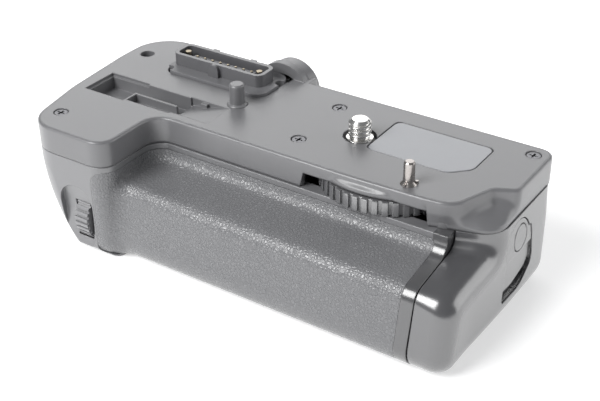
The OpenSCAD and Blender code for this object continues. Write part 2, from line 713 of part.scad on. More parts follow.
module hold_switch() color([0.18, 0.18, 0.2]) place()
    block([hold_at[0] - 2.5, 12.5, -18.5], [hold_at[0] + 2.5, 16.8, -11.4]);

module selector_housing() color([0.3, 0.3, 0.32]) place() translate([sel_at[0], 0, sel_at[2]]) difference() {
    rod_y(selector_r, sel_seat, sel_face);
    rod_y(5.6, sel_seat - 1, sel_face + 1);
    translate([0, sel_at[1], 0]) rod_x(0.65, -6.6, 6.6);
    translate([0, sel_face + 16, 0]) sphere(17.6);
}

module selector_switch() color([0.18, 0.18, 0.2]) place()
    block([sel_at[0] - 3, 17.6, -9.8], [sel_at[0] + 3, 19.6, -2.6]);

module selector_gimbal() color([0.75, 0.75, 0.76]) place() translate(sel_at) {
    difference() {
        rod_y(5, -1, 1);
        rod_y(3.2, -2, 2);
        translate([0, 0, -6]) cylinder(r = 0.6 + run_gap, h = 12);
    }
    for (k = [-1, 1]) scale([k, 1, 1]) rod_x(0.6, 4.8, 6.4);
}

module selector_pad() color([0.17, 0.17, 0.18]) place() translate(sel_at) {
    rod_y(2.4, -3, 3.2);
    for (k = [-1, 1]) scale([1, 1, k]) translate([0, 0, 2]) cylinder(r = 0.6, h = 2.4);
    difference() {
        rod_y(6.6, 3, 4.2);
        translate([0, 4.2 + 27.6, 0]) sphere(28);
    }
}

module attachment_wheel() color([0.2, 0.2, 0.21]) place() translate(concat(wheel_c, [0])) difference() {
    translate([0, 0, wheel_low]) linear_extrude(wheel_top - wheel_low) difference() {
        circle(wheel_r);
        for (k = [0:wheel_ribs - 1]) rotate(360 * k / wheel_ribs) translate([wheel_r - 0.8, -0.55])
            square([2, 1.1]);
    }
    translate([0, 0, gear_low - 0.01]) linear_extrude(10)
        polygon(tooth_pts(wheel_teeth, gear_m * (wheel_teeth / 2 - 0.7), gear_m * (wheel_teeth / 2 + 1.1),
                          gear_m * wheel_teeth / 2, 0.05, wheel_ang));
    translate([0, 0, -20]) cylinder(r = guide_r + run_gap, h = 20 + gear_low);
}

module screw_pinion() color([0.8, 0.72, 0.45]) place() difference() {
    translate([0, 0, gear_low]) linear_extrude(wheel_top - gear_low)
        polygon(tooth_pts(pinion_teeth, gear_m * (pinion_teeth / 2 - 1), gear_m * (pinion_teeth / 2 + 0.75),
                          gear_m * pinion_teeth / 2, -0.05, wheel_ang));
    translate([0, 0, -20]) cylinder(r = shaft_r, h = 30);
}

module mounting_screw() color([0.83, 0.83, 0.84]) place() {
    difference() {
        union() {
            translate([0, 0, 0.2]) rotate_extrude()
                polygon(ridge_pts(screw_d / 2, 0.7, floor((screw_h - 0.5) / thread_pitch)));
            translate([0, 0, screw_h - 0.9])
                cylinder(r1 = screw_d / 2 - 0.3, r2 = screw_d / 2 - 1.1, h = 0.9);
            translate([0, 0, -plate_t - 0.2]) cylinder(r = journal_r, h = plate_t);
            cylinder(r = screw_d / 2 - 0.7, h = screw_h - 0.9);
            translate([0, 0, -0.3]) cylinder(r = screw_d / 2 - 0.7, h = 1);
            translate([0, 0, wheel_top + 0.2]) cylinder(r = 5.2, h = -plate_t - 0.1 - wheel_top - 0.2);
            translate([0, 0, -10.4]) cylinder(r = shaft_r, h = 10);
        }
        translate([0, 0, -9.9]) difference() {
            cylinder(r = shaft_r + 1, h = 0.6);
            translate([0, 0, -1]) cylinder(r = shaft_r - 0.4, h = 3);
        }
    }
}

module screw_clip() color([0.6, 0.6, 0.62]) place() translate([0, 0, -9.9]) difference() {
    cylinder(r = 3.8, h = 0.6);
    translate([0, 0, -1]) cylinder(r = shaft_r - 0.4, h = 3);
    translate([-1.2, 0, -1]) cube([2.4, 6, 3]);
}

// battery tray and its end cap
tray_x1 = cap_x + clear;
tray_x0 = tray_x1 - tray_len;
tray_floor = bay_floor + tray_gap;

module battery_tray() color([0.23, 0.23, 0.25]) place() difference() {
    along_x(tray_x0, tray_x1) inset_shape(bay_p, bay_r, tray_gap);
    pocket = (tray_len - 3.8 - 2 * tray_wall) / 2;
    for (k = [0, 1]) translate([tray_x0 + tray_wall + k * (pocket + tray_wall), -31, tray_floor + 1.2])
        cube([pocket, 31 + bay_back - tray_gap - tray_wall, 40]);
    for (y = [-24:6:-6]) block([tray_x0 - 1, y - 1.6, -28], [tray_x0 + 0.6, y + 1.6, -24]);
    for (y = [-26, 0]) translate([0, y, -24]) rod_x(0.8, tray_x1 - 3.2, tray_x1 + 1);
}

module tray_contacts() color([0.85, 0.72, 0.35]) place()
    for (y = [-24:6:-6]) block([tray_x0, y - 1.6, -28], [tray_x0 + 0.6, y + 1.6, -24]);

// outer form of the end cap, set in by d
module cap_body(d, x0) {
    intersection() {
        along_x(x0, 55) inset_shape(cap_side_p, cap_side_r, d);
        translate([0, 0, -60]) linear_extrude(70) inset_shape(cap_p, cap_r, d);
        along_y(-60, 40) polygon([[20, floor_z - 1], [44.6 - d, floor_z - 0.4 + d], [47.6 - d, -36.6 + d],
                                  [49.4 - d, -34 + d], [50.6 - d, -29], [50.6 - d, 10], [20, 10]]);
    }
}

module latch_recess(g) {
    translate(hub_at) circle(hub_r + 0.5 + g);
    rounded([[-10.7 - g, -13.2], [-12 - g, -29.4 - g], [-0.5, -29 - g], [7.4 + g, -21], [1.6 + g, -11]],
            [0, 1.2, 7, 5, 0]);
}

module end_cap() color([0.26, 0.26, 0.28]) place() difference() {
    union() {
        difference() {
            cap_body(0, tray_x1);
            cap_body(2.2, tray_x1 - 5);
            // open top for the deck tongue
            block([30, -9.5, -11.5], [47.2, 18.3, 0]);
        }
        // flange that closes the bay and carries the tray
        intersection() {
            cap_body(1, tray_x1);
            block([tray_x1, -60, -60], [tray_x1 + 1.8, 60, -17.7]);
        }
        // box behind the latch
        intersection() {
            cap_body(0.5, tray_x1);
            block([43.6, -14, -31.5], [60, 9.6, -11.6]);
        }
        // guide of the latch bolt, on an arm from the latch box
        block([bolt_x - 1, bolt_y - 4, -14.8], [44, bolt_y + 4, -12]);
    }
    // lip below the seam follows the upper case
    translate([0, 0, -10.4]) linear_extrude(5) difference() {
        translate([30, -60]) square([40, 56]);
        rounded(plan_p, plan_r);
    }
    along_x(45.4, 60) latch_recess(0);
    translate([0, 0, 0]) block([bolt_x - 0.15, bolt_y - 2.65, -20], [bolt_x + 1.75, bolt_y + 2.65, -5]);
    translate([tab_hinge[0], 0, tab_hinge[1]]) rod_y(0.6, -12.8, 8.4);
    for (y = [-26, 0]) translate([0, y, -24]) rod_x(0.8 + run_gap, tray_x1 - 1, tray_x1 + 3);
}

module cap_screws() color([0.6, 0.6, 0.62]) place() for (y = [-26, 0]) translate([0, y, -24]) {
    rod_x(0.8, tray_x1 - 3.2, tray_x1 + 2);
    rod_x(1.7, tray_x1 + 1.8, tray_x1 + 2.8);
}

module latch_hub() color([0.3, 0.3, 0.32]) place() difference() {
    union() {
        along_x(45.4, 48.6) intersection() {
            latch_recess(-0.12);
            translate([-20, -19.95]) square([40, 30]);
        }
        along_x(45.4, 49.5) translate(hub_at) intersection() {
            circle(hub_r);
            translate([-20, -19.95 - hub_at[1]]) square([40, 30]);
        }
    }
    translate([tab_hinge[0], 0, tab_hinge[1]]) rod_y(2.8, -30, 30);
}

module latch_pin() color([0.75, 0.75, 0.76]) place()
    translate([tab_hinge[0], 0, tab_hinge[1]]) rod_y(0.6, -12.8, 8.4);

module latch_tab() color([0.28, 0.28, 0.3]) place() difference() {
    union() {
        along_x(47.7, 49.2)
            rounded([[-10.8, -20.3], [-11.5, -26.8], [-7, -25.7], [-1, -24.9], [3.2, -25], [5.2, -22.4],
                     [5.2, -20.3]], [0, 0.8, 0, 0, 1, 1, 0]);
        translate([tab_hinge[0], 0, tab_hinge[1]]) rod_y(1.2, -10.6, 5.1);
    }
    translate([tab_hinge[0], 0, tab_hinge[1]]) rod_y(0.6 + run_gap, -20, 20);
}

module latch_bolt() color([0.7, 0.7, 0.72]) place()
    block([bolt_x, bolt_y - 2.5, -14.9], [bolt_x + 1.6, bolt_y + 2.5, bolt_top]);

upper_case();
lower_case();
grip_rubber();
label_plate();
connector_gasket();
connector_shroud();
connector_contacts();
guide_pin_plastic();
guide_pin_metal();
case_screws();
wheel_plate();
plate_screw();
tripod_bush();
main_board();
contact_block();
contact_pins();
front_axle();
rear_axle();
shutter_switch();
hold_switch();
selector_housing();
selector_switch();
attachment_wheel();
mounting_screw();
screw_pinion();
screw_clip();
front_dial();
rear_dial();
shutter_button();
shutter_lock();
hold_button();
selector_gimbal();
selector_pad();
battery_tray();
end_cap();
tray_contacts();
cap_screws();
latch_hub();
latch_pin();
latch_tab();
latch_bolt();
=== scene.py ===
"""Looks of a camera's battery grip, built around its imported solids.

Places are in millimetres from the mounting screw's axis at the top plate: x runs to the tray's end
cap, y to the back and z up. Skin.mesh() carries them into the row frame in metres.
"""

from __future__ import annotations

import json
import logging
import math
from dataclasses import dataclass, field
from enum import Enum
from typing import Any, Sequence

import bmesh
import bpy
import numpy as np
from bpy.types import ID, Material, Mesh, NodeSocket, Object
from mathutils import Matrix


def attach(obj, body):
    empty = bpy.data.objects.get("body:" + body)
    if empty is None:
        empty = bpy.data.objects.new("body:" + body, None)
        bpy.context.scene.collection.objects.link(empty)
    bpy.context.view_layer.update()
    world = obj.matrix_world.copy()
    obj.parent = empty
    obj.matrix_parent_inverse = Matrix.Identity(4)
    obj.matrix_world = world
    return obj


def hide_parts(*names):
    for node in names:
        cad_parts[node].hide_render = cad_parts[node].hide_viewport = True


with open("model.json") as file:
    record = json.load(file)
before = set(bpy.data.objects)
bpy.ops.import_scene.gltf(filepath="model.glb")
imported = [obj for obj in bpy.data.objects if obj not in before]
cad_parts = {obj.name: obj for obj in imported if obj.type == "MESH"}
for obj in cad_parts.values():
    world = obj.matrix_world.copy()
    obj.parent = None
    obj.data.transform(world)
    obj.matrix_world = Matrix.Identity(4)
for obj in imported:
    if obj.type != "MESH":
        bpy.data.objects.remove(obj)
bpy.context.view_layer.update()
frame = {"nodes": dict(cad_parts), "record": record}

LOG = logging.getLogger("battery_grip")
Array = np.ndarray
Pair = tuple[float, float]
Corners = tuple[Pair, ...]
Radii = tuple[float, ...]
MM = 0.001
SCREW_AT = np.array([20.2, 7.9, 38.0])  # the screw's axis at the top plate, in the row frame


class Side(Enum):
    """Which way a grid's faces look: OUT along (column to column) x (row to row), IN against it."""

    OUT = 1
    IN = -1


class Keep(Enum):
    """What a cut leaves of a piece."""

    OUTSIDE = "DIFFERENCE"
    INSIDE = "INTERSECT"


class Term:
    """A shader socket that takes part in Python expressions, each of which adds a Math node."""

    def __init__(self, graph: Graph, socket: NodeSocket) -> None:
        """Wraps a socket of the graph's tree."""
        self.graph = graph
        self.socket = socket

    def math(self, operation: str, first: Feed, second: Feed = 0.0) -> Term:
        """Result of one Math node with that operation."""
        return self.graph.node("Math", {0: first, 1: second}, operation=operation)

    def __add__(self, other: Feed) -> Term:
        """Sum."""
        return self.math("ADD", self, other)

    __radd__ = __add__

    def __sub__(self, other: Feed) -> Term:
        """Difference."""
        return self.math("SUBTRACT", self, other)

    def __rsub__(self, other: Feed) -> Term:
        """Difference from a number."""
        return self.math("SUBTRACT", other, self)

    def __mul__(self, other: Feed) -> Term:
        """Product."""
        return self.math("MULTIPLY", self, other)

    def __truediv__(self, other: Feed) -> Term:
        """Quotient."""
        return self.math("DIVIDE", self, other)

    def clipped(self) -> Term:
        """The value held between 0 and 1."""
        return self.math("MINIMUM", self.math("MAXIMUM", self, 0.0), 1.0)


Feed = float | int | tuple | Term


class Graph:
    """A material's node tree, filled through node()."""

    def __init__(self, name: str) -> None:
        """Starts an empty material of that name."""
        self.material = bpy.data.materials.new(name)
        self.material.use_nodes = True
        self.tree = self.material.node_tree
        self.tree.nodes.clear()

    def node(self, kind: str, feeds: dict[str | int, Feed] | None = None, out: str | int = 0, **settings: Any) -> Term:
        """Adds a node, sets it and feeds it.

        Args:
            kind: the node's type without its ShaderNode prefix.
            feeds: values or links by socket name or number.
            out: the output to hand back.
            settings: the node's properties.

        Returns:
            That output as a Term.
        """
        made = self.tree.nodes.new("ShaderNode" + kind)
        for key, value in settings.items():
            setattr(made, key, value)
        for key, value in (feeds or {}).items():
            if isinstance(value, Term):
                self.tree.links.new(value.socket, made.inputs[key])
            else:
                made.inputs[key].default_value = value
        return Term(self, made.outputs[out] if made.outputs else None)

    def place(self) -> Term:
        """Object coordinates, in metres."""
        return self.node("TexCoord", out="Object")

    def noise(self, size: float, detail: float = 2.0, rough: float = 0.5, at: Term | None = None) -> Term:
        """Noise whose blotches are about that many millimetres across."""
        return self.node("TexNoise", {"Vector": at or self.place(), "Scale": 1.0 / (size * MM), "Detail": detail,
                                      "Roughness": rough})

    def blend(self, factor: Feed, first: Feed, second: Feed) -> Term:
        """A colour between two colours."""
        return self.node("Mix", {0: factor, 6: first, 7: second}, 2, data_type="RGBA")

    def round_normal(self, radius: float) -> Term:
        """Surface direction with edges rounded to a radius in millimetres."""
        return self.node("Bevel", {"Radius": radius * MM}, samples=6)

    def edge_mask(self, normal: Term) -> Term:
        """How far a rounded direction leans from the true one: 0 on a flat, near 1 on an edge."""
        true = self.node("NewGeometry", out="Normal")
        lean = self.node("VectorMath", {0: normal, 1: true}, "Value", operation="DOT_PRODUCT")
        return ((1.0 - lean) * 4.0).clipped()

    def finish(self, **sockets: Feed) -> Material:
        """Closes the graph with a Principled shader.

        Args:
            sockets: its inputs, with _ for a space.

        Returns:
            The material.
        """
        feeds = {key.replace("_", " "): value for key, value in sockets.items()}
        shader = self.node("BsdfPrincipled", feeds)
        self.node("OutputMaterial", {"Surface": shader})
        return self.material


@dataclass(frozen=True)
class Finish:
    """What a piece is made of. Each kind fills a graph of its own."""

    name: str
    tone: tuple[float, float, float]

    def shade(self, by: float) -> tuple[float, ...]:
        """The tone times a number, with full alpha."""
        return (*(part * by for part in self.tone), 1.0)

    def fill(self, g: Graph) -> Material:
        """Builds the finish in an empty graph."""
        raise NotImplementedError

    def material(self) -> Material:
        """The finish, built at its first use."""
        return bpy.data.materials.get(self.name) or self.fill(Graph(self.name))


@dataclass(frozen=True)
class Plastic(Finish):
    """Spark-eroded moulded plastic: fine even grain, faint mottling, paler rubbed edges.

    Beyond the place along x named polished, where one is given, it turns dark and glossy.
    """

    roughness: float = 0.42
    grain: float = 0.28
    depth: float = 0.02
    edge: float = 0.45
    wear: float = 0.35
    ior: float = 1.5
    polished: float | None = None

    def fill(self, g: Graph) -> Material:
        """Grain is noise over Voronoi pits, edges lean on a rounded normal."""
        pits = g.node("TexVoronoi", {"Vector": g.place(), "Scale": 1.0 / (self.grain * MM), "Smoothness": 0.6},
                      feature="SMOOTH_F1")
        fine = g.noise(self.grain * 0.55, 2.0)
        mottle = g.noise(9.0, 3.0, 0.6)
        rounded = g.round_normal(self.edge)
        rub = g.edge_mask(rounded) * g.noise(1.6, 3.0, 0.7)
        body = g.blend(mottle, self.shade(0.93), self.shade(1.07))
        worn = g.blend((rub * self.wear).clipped(), body, self.shade(1.8))
        height = pits * 0.7 + fine * 0.6
        bump = g.node("Bump", {"Strength": 0.5, "Distance": self.depth * MM, "Height": height, "Normal": rounded})
        rough = (mottle - 0.5) * 0.08 + self.roughness - rub * 0.06
        if self.polished is not None:
            x = g.node("SeparateXYZ", {0: g.place()}, "X")
            start = float(self.polished + SCREW_AT[0]) * MM
            gloss = ((x - start) / (0.4 * MM)).clipped()
            worn = g.blend(gloss, worn, self.shade(0.45))
            rough = rough - gloss * (self.roughness - 0.22)
        return g.finish(Base_Color=worn, Roughness=rough, Normal=bump, IOR=self.ior)


@dataclass(frozen=True)
class Leatherette(Finish):
    """Moulded grip rubber: pebbled cells with a finer crackle on them."""

    roughness: float = 0.31
    cell: float = 0.95
    depth: float = 0.085
    ior: float = 1.65

    def fill(self, g: Graph) -> Material:
        """Cells are Voronoi distances bent by noise, lighter on their crowns."""
        sway = g.node("TexNoise", {"Vector": g.place(), "Scale": 1.0 / (2.2 * MM), "Detail": 2.0}, "Color")
        drift = g.node("VectorMath", {0: sway, "Scale": 0.9 * MM}, operation="SCALE")
        at = g.node("VectorMath", {0: g.place(), 1: drift}, operation="ADD")
        cells = g.node("TexVoronoi", {"Vector": at, "Scale": 1.0 / (self.cell * MM)}, feature="DISTANCE_TO_EDGE")
        crown = g.node("MapRange", {"Value": cells, "From Min": 0.0, "From Max": 0.28}, interpolation_type="SMOOTHSTEP")
        fine = g.noise(0.22, 2.0)
        mottle = g.noise(7.0, 3.0, 0.6)
        lift = crown * 0.75 + mottle * 0.5 - 0.25
        body = g.blend(lift.clipped(), self.shade(0.86), self.shade(1.06))
        height = crown + fine * 0.3
        bump = g.node("Bump", {"Strength": 0.85, "Distance": self.depth * MM, "Height": height})
        rough = self.roughness + (0.5 - crown) * 0.16
        return g.finish(Base_Color=body, Roughness=rough, Normal=bump, IOR=self.ior)


@dataclass(frozen=True)
class Metal(Finish):
    """Bare or plated metal with faint turning marks about an axis and smudges."""

    roughness: float = 0.25
    edge: float = 0.15
    marks: float = 0.004

    def fill(self, g: Graph) -> Material:
        """Noise stretched along z gives the marks."""
        drawn = g.node("Mapping", {"Vector": g.place(), "Scale": (1.0, 1.0, 9.0)})
        marks = g.noise(0.5, 3.0, 0.6, drawn)
        smudge = g.noise(3.0, 3.0, 0.6)
        rounded = g.round_normal(self.edge)
        bump = g.node("Bump", {"Strength": 0.4, "Distance": self.marks * MM, "Height": marks, "Normal": rounded})
        body = g.blend(smudge, self.shade(0.9), self.shade(1.05))
        rough = self.roughness + (smudge - 0.5) * 0.16
        return g.finish(Base_Color=body, Roughness=rough, Metallic=1.0, Normal=bump)


CASE = Plastic("case_plastic", (0.165, 0.165, 0.172), 0.34, 0.34, 0.02, ior=1.7)
CAP = Plastic("cap_plastic", (0.078, 0.078, 0.083), 0.24, 0.34, 0.012, ior=2.1)
LOWER = Plastic("lower_case_plastic", (0.17, 0.17, 0.178), 0.34, 0.34, 0.02, ior=1.9, polished=34.0)
TRAY = Plastic("tray_plastic", (0.09, 0.091, 0.095), 0.42)
LABEL = Plastic("label_satin", (0.29, 0.296, 0.315), 0.34, 0.16, 0.006, 0.2, 0.2, ior=1.65)
GASKET = Plastic("gasket_rubber", (0.16, 0.16, 0.168), 0.45, 0.2, 0.01, 0.3, 0.1, ior=1.6)
CONNECTOR = Plastic("connector_plastic", (0.11, 0.11, 0.117), 0.3, 0.2, 0.01, 0.2, 0.2, ior=1.8)
WHEEL = Plastic("wheel_plastic", (0.12, 0.12, 0.126), 0.2, 0.25, 0.01, 0.3, ior=2.4)
DIAL = Plastic("dial_moulding", (0.24, 0.24, 0.248), 0.36, 0.25, 0.015, 0.25, ior=1.7)
BOARD = Plastic("board_resin", (0.03, 0.09, 0.05), 0.4, 0.3, 0.01, 0.2)
RUBBER = Leatherette("grip_leatherette", (0.188, 0.189, 0.197))
NICKEL = Metal("nickel_plate", (0.82, 0.81, 0.79), 0.22)
GOLD = Metal("gold_contacts", (0.36, 0.31, 0.23), 0.34)
BRASS = Metal("brass_turned", (0.70, 0.52, 0.26), 0.3)
STEEL = Metal("steel_sheet", (0.58, 0.58, 0.59), 0.32)
DARK_STEEL = Metal("blackened_steel", (0.19, 0.19, 0.2), 0.36)
SILVER = Metal("satin_silver", (0.38, 0.38, 0.385), 0.38)
PIN = Metal("worn_pin_steel", (0.40, 0.375, 0.36), 0.27)


@dataclass
class Skin:
    """Points in millimetres from the screw and the faces between them."""

    points: Array
    faces: list[list[int]] = field(default_factory=list)

    @staticmethod
    def grid(points: Array, side: Side = Side.OUT, loop: bool = False) -> Skin:
        """Joins a grid of points by quads.

        Args:
            points: rows by columns by 3.
            side: which way the faces look.
            loop: whether the last column joins the first.

        Returns:
            The surface.
        """
        rows, columns = points.shape[:2]
        number = np.arange(rows * columns).reshape(rows, columns)
        if loop:
            number = np.concatenate([number, number[:, :1]], axis=1)
        quads = np.stack([number[:-1, :-1], number[:-1, 1:], number[1:, 1:], number[1:, :-1]], axis=-1).reshape(-1, 4)
        if side is Side.IN:
            quads = quads[:, ::-1]
        return Skin(points.reshape(-1, 3), quads.tolist())

    def mesh(self, name: str) -> Mesh:
        """The surface as a mesh in the row frame, in metres."""
        made = bpy.data.meshes.new(name)
        made.from_pydata(((self.points + SCREW_AT) * MM).tolist(), [], self.faces)
        return made

    def __add__(self, other: Skin) -> Skin:
        """Both surfaces in one mesh."""
        shift = len(self.points)
        moved = [[corner + shift for corner in face] for face in other.faces]
        return Skin(np.concatenate([self.points, other.points]), self.faces + moved)


def placed(name: str, data: ID) -> Object:
    """A new object in the scene."""
    made = bpy.data.objects.new(name, data)
    bpy.context.scene.collection.objects.link(made)
    return made


def make_piece(name: str, skin: Skin, finish: Finish, body: str, smooth: float = 40.0) -> Object:
    """Puts a surface into the scene as a piece that rides on a body.

    Args:
        name: the piece's name.
        skin: its surface.
        finish: what it is made of.
        body: the CAD body that carries it.
        smooth: edges flatter than this many degrees are shaded smooth.

    Returns:
        The object.
    """
    mesh = skin.mesh(name)
    merge_doubles(mesh)
    mesh.shade_smooth()
    mesh.set_sharp_from_angle(angle=math.radians(smooth))
    mesh.materials.append(finish.material())
    piece = placed(name, mesh)
    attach(piece, body)
    LOG.info("%s: %d points on %s", name, len(mesh.vertices), body)
    return piece


def merge_doubles(mesh: Mesh, reach: float = 0.002) -> None:
    """Joins points that lie within a reach in millimetres."""
    work = bmesh.new()
    work.from_mesh(mesh)
    bmesh.ops.remove_doubles(work, verts=work.verts, dist=reach * MM)
    work.to_mesh(mesh)
    work.free()


def thicken(piece: Object, wall: float, rim: float = 0.0) -> None:
    """Gives a surface a wall on its inner side, and rounds the rim.

    Args:
        piece: the surface.
        wall: thickness in millimetres.
        rim: radius of its edges in millimetres.
    """
    solid = piece.modifiers.new("wall", "SOLIDIFY")
    solid.thickness = wall * MM
    solid.offset = -1.0
    solid.use_even_offset = True
    if rim:
        bevel = piece.modifiers.new("rim", "BEVEL")
        bevel.width = rim * MM
        bevel.segments = 3
        bevel.limit_method = "ANGLE"
        bevel.angle_limit = math.radians(50)


def round_sections(corners: Array, radii: Array, arcs: Sequence[int], runs: Sequence[int]) -> Array:
    """Rounds the inner corners of many section lines at once.

    A corner turning by d becomes an arc of radius r whose ends lie r tan(d/2) along both arms, less
    where two arcs share a short arm. The arc is the rational curve with weight cos(d/2).

    Args:
        corners: sections by corners by 3.
        radii: sections by inner corners.
        arcs: points on each arc.
        runs: points on each straight run, counted without its end.

    Returns:
        Sections by points by 3.
    """
    arms = np.diff(corners, axis=1)
    lengths = np.maximum(np.linalg.norm(arms, axis=2), 1e-9)
    ways = arms / lengths[..., None]
    turn = np.arccos(np.clip((ways[:, :-1] * ways[:, 1:]).sum(axis=2), -1.0, 1.0))
    reach = radii * np.tan(turn / 2)
    wide = np.pad(reach, ((0, 0), (1, 1)))
    share = np.minimum(1.0, lengths / np.maximum(wide[:, :-1] + wide[:, 1:], 1e-9))
    reach = reach * np.minimum(share[:, :-1], share[:, 1:])
    start = corners[:, 1:-1] - ways[:, :-1] * reach[..., None]
    stop = corners[:, 1:-1] + ways[:, 1:] * reach[..., None]
    pieces: list[Array] = []
    last = corners[:, :1]
    for i, (count, run) in enumerate(zip(arcs, runs)):
        step = np.linspace(0.0, 1.0, run, endpoint=False)[None, :, None]
        pieces.append(last + (start[:, i:i + 1] - last) * step)
        t = np.linspace(0.0, 1.0, count)[None, :, None]
        weight = np.cos(turn[:, i] / 2)[:, None, None]
        parts = ((1 - t) ** 2, 2 * t * (1 - t) * weight, t ** 2)
        top = parts[0] * start[:, i:i + 1] + parts[1] * corners[:, i + 1:i + 2] + parts[2] * stop[:, i:i + 1]
        pieces.append((top / sum(parts))[:, :-1])
        last = stop[:, i:i + 1]
    step = np.linspace(0.0, 1.0, runs[-1])[None, :, None]
    pieces.append(last + (corners[:, -1:] - last) * step)
    return np.concatenate(pieces, axis=1)


def round_line(corners: Any, radii: Sequence[float], arc: int, run: int) -> Array:
    """A flat line with its inner corners rounded, by so many points on each arc and each run."""
    flat, count = np.pad(np.array(corners, float), ((0, 0), (0, 1)))[None], len(radii)
    return round_sections(flat, np.array([radii], float), [arc] * count, [run] * (count + 1))[0, :, :2]


class Rail:
    """A rounded line in plan, looked up by the length along it."""

    def __init__(self, corners: Sequence[Sequence[float]], radii: Sequence[float]) -> None:
        """Rounds the inner corners of an open line of (x, y) points."""
        line = round_line(corners, radii, 24, 60)
        steps = np.linalg.norm(np.diff(line, axis=0), axis=1)
        self.line = line[np.append(True, steps > 1e-7)]
        self.along = np.append(0.0, np.cumsum(np.linalg.norm(np.diff(self.line, axis=0), axis=1)))

    def at(self, lengths: Array) -> Array:
        """Points at lengths along the line."""
        return np.stack([np.interp(lengths, self.along, part) for part in self.line.T], axis=-1)

    def near(self, x: float, y: float) -> float:
        """Length along the line at the point of it nearest to (x, y)."""
        return float(self.along[np.argmin(np.hypot(*(self.line - (x, y)).T))])


def matched(knots: Sequence[float], lengths: Sequence[float], at: Array, soft: float) -> Array:
    """Lengths along a rail for a common parameter, with the knots' changes of pace smoothed.

    The piecewise straight map is averaged over a window; beyond its ends it is carried on by odd
    reflection so that the ends stay put.

    Args:
        knots: rising parameter values.
        lengths: length along the rail at each.
        at: parameter values to look up.
        soft: half width of the window.

    Returns:
        Lengths along the rail.
    """
    window = np.linspace(-soft, soft, 41)[None, :]
    weight = np.cos(window / soft * math.pi / 2) ** 2
    low, high = knots[0], knots[-1]
    spread = np.asarray(at, float)[:, None] + window
    folded = np.where(spread < low, 2 * low - spread, np.where(spread > high, 2 * high - spread, spread))
    value = np.interp(folded, knots, lengths)
    value = np.where(spread < low, 2 * lengths[0] - value, np.where(spread > high, 2 * lengths[-1] - value, value))
    return (value * weight).sum(axis=1) / weight.sum()


def lifted(plan: Array, z: Any) -> Array:
    """Plan points carried to one height, or each to its own."""
    return np.stack(np.broadcast_arrays(*plan.T, z), axis=1)


def reach_of(line: Array, middle: Array, way: Array) -> Array:
    """Distance from a middle point to a line that is star shaped about it, for directions in radians."""
    arm = line - middle
    angle, size = np.arctan2(arm[:, 1], arm[:, 0]), np.linalg.norm(arm, axis=1)
    order = np.argsort(angle)
    return np.interp(way, angle[order], size[order], period=2 * math.pi)


def round_about(count: int) -> Array:
    """Equal angles round a full turn, from 0."""
    return np.linspace(0.0, 2 * math.pi, count, endpoint=False)


def closed_outline(ring: Sequence[Sequence[float]], radii: Sequence[float]) -> Array:
    """Closed line of (a, b) corners, each rounded by its radius; it starts half way along the last side.

    Args:
        ring: the corners in order.
        radii: radius at each corner.

    Returns:
        Points by 2, the first not repeated.
    """
    flat = np.array(ring, float)
    middle = (flat[-1:] + flat[:1]) / 2
    return round_line(np.concatenate([middle, flat, middle]), radii, 9, 12)[:-1]


def turned(profile: Array, count: int) -> Array:
    """A (radius, height) profile turned about the z axis: rows by columns by 3."""
    angle, radius = round_about(count), profile[:, :1]
    return np.stack(np.broadcast_arrays(radius * np.cos(angle), radius * np.sin(angle), profile[:, 1:]), axis=-1)


def capped(low: Array, high: Array) -> Skin:
    """Closed solid between two rings that run counter-clockwise seen from the second one's side."""
    count = len(low)
    side = Skin.grid(np.stack([low, high]), loop=True)
    return Skin(side.points, side.faces + [list(range(count))[::-1], list(range(count, 2 * count))])


def prism(ring: Array, low: float, high: float) -> Skin:
    """Closed upright solid on a plan outline that runs counter-clockwise."""
    return capped(lifted(ring, low), lifted(ring, high))


def cut_away(piece: Object, plug: Skin, keep: Keep = Keep.OUTSIDE) -> None:
    """Cuts a piece along a closed surface and keeps the result in its mesh.

    Args:
        piece: what is cut, with its modifiers.
        plug: the closed surface.
        keep: which side of it stays.
    """
    tool = placed("plug", plug.mesh("plug"))
    cut = piece.modifiers.new("cut", "BOOLEAN")
    cut.operation = keep.value
    cut.solver = "EXACT"
    cut.object = tool
    bpy.context.view_layer.update()
    done = bpy.data.meshes.new_from_object(piece.evaluated_get(bpy.context.evaluated_depsgraph_get()))
    piece.modifiers.clear()
    piece.data = done
    bpy.data.objects.remove(tool)
    done.shade_smooth()
    done.set_sharp_from_angle(angle=math.radians(35))


@dataclass(frozen=True)
class Sweep:
    """Line of the grip rubber along y and z that leaves the tall block and meets the handle at two x.

    It is matched with the other lines at its ends and at three points.
    """

    y: float
    z: float
    leave: float
    meet: float
    radii: Pair
    points: Corners


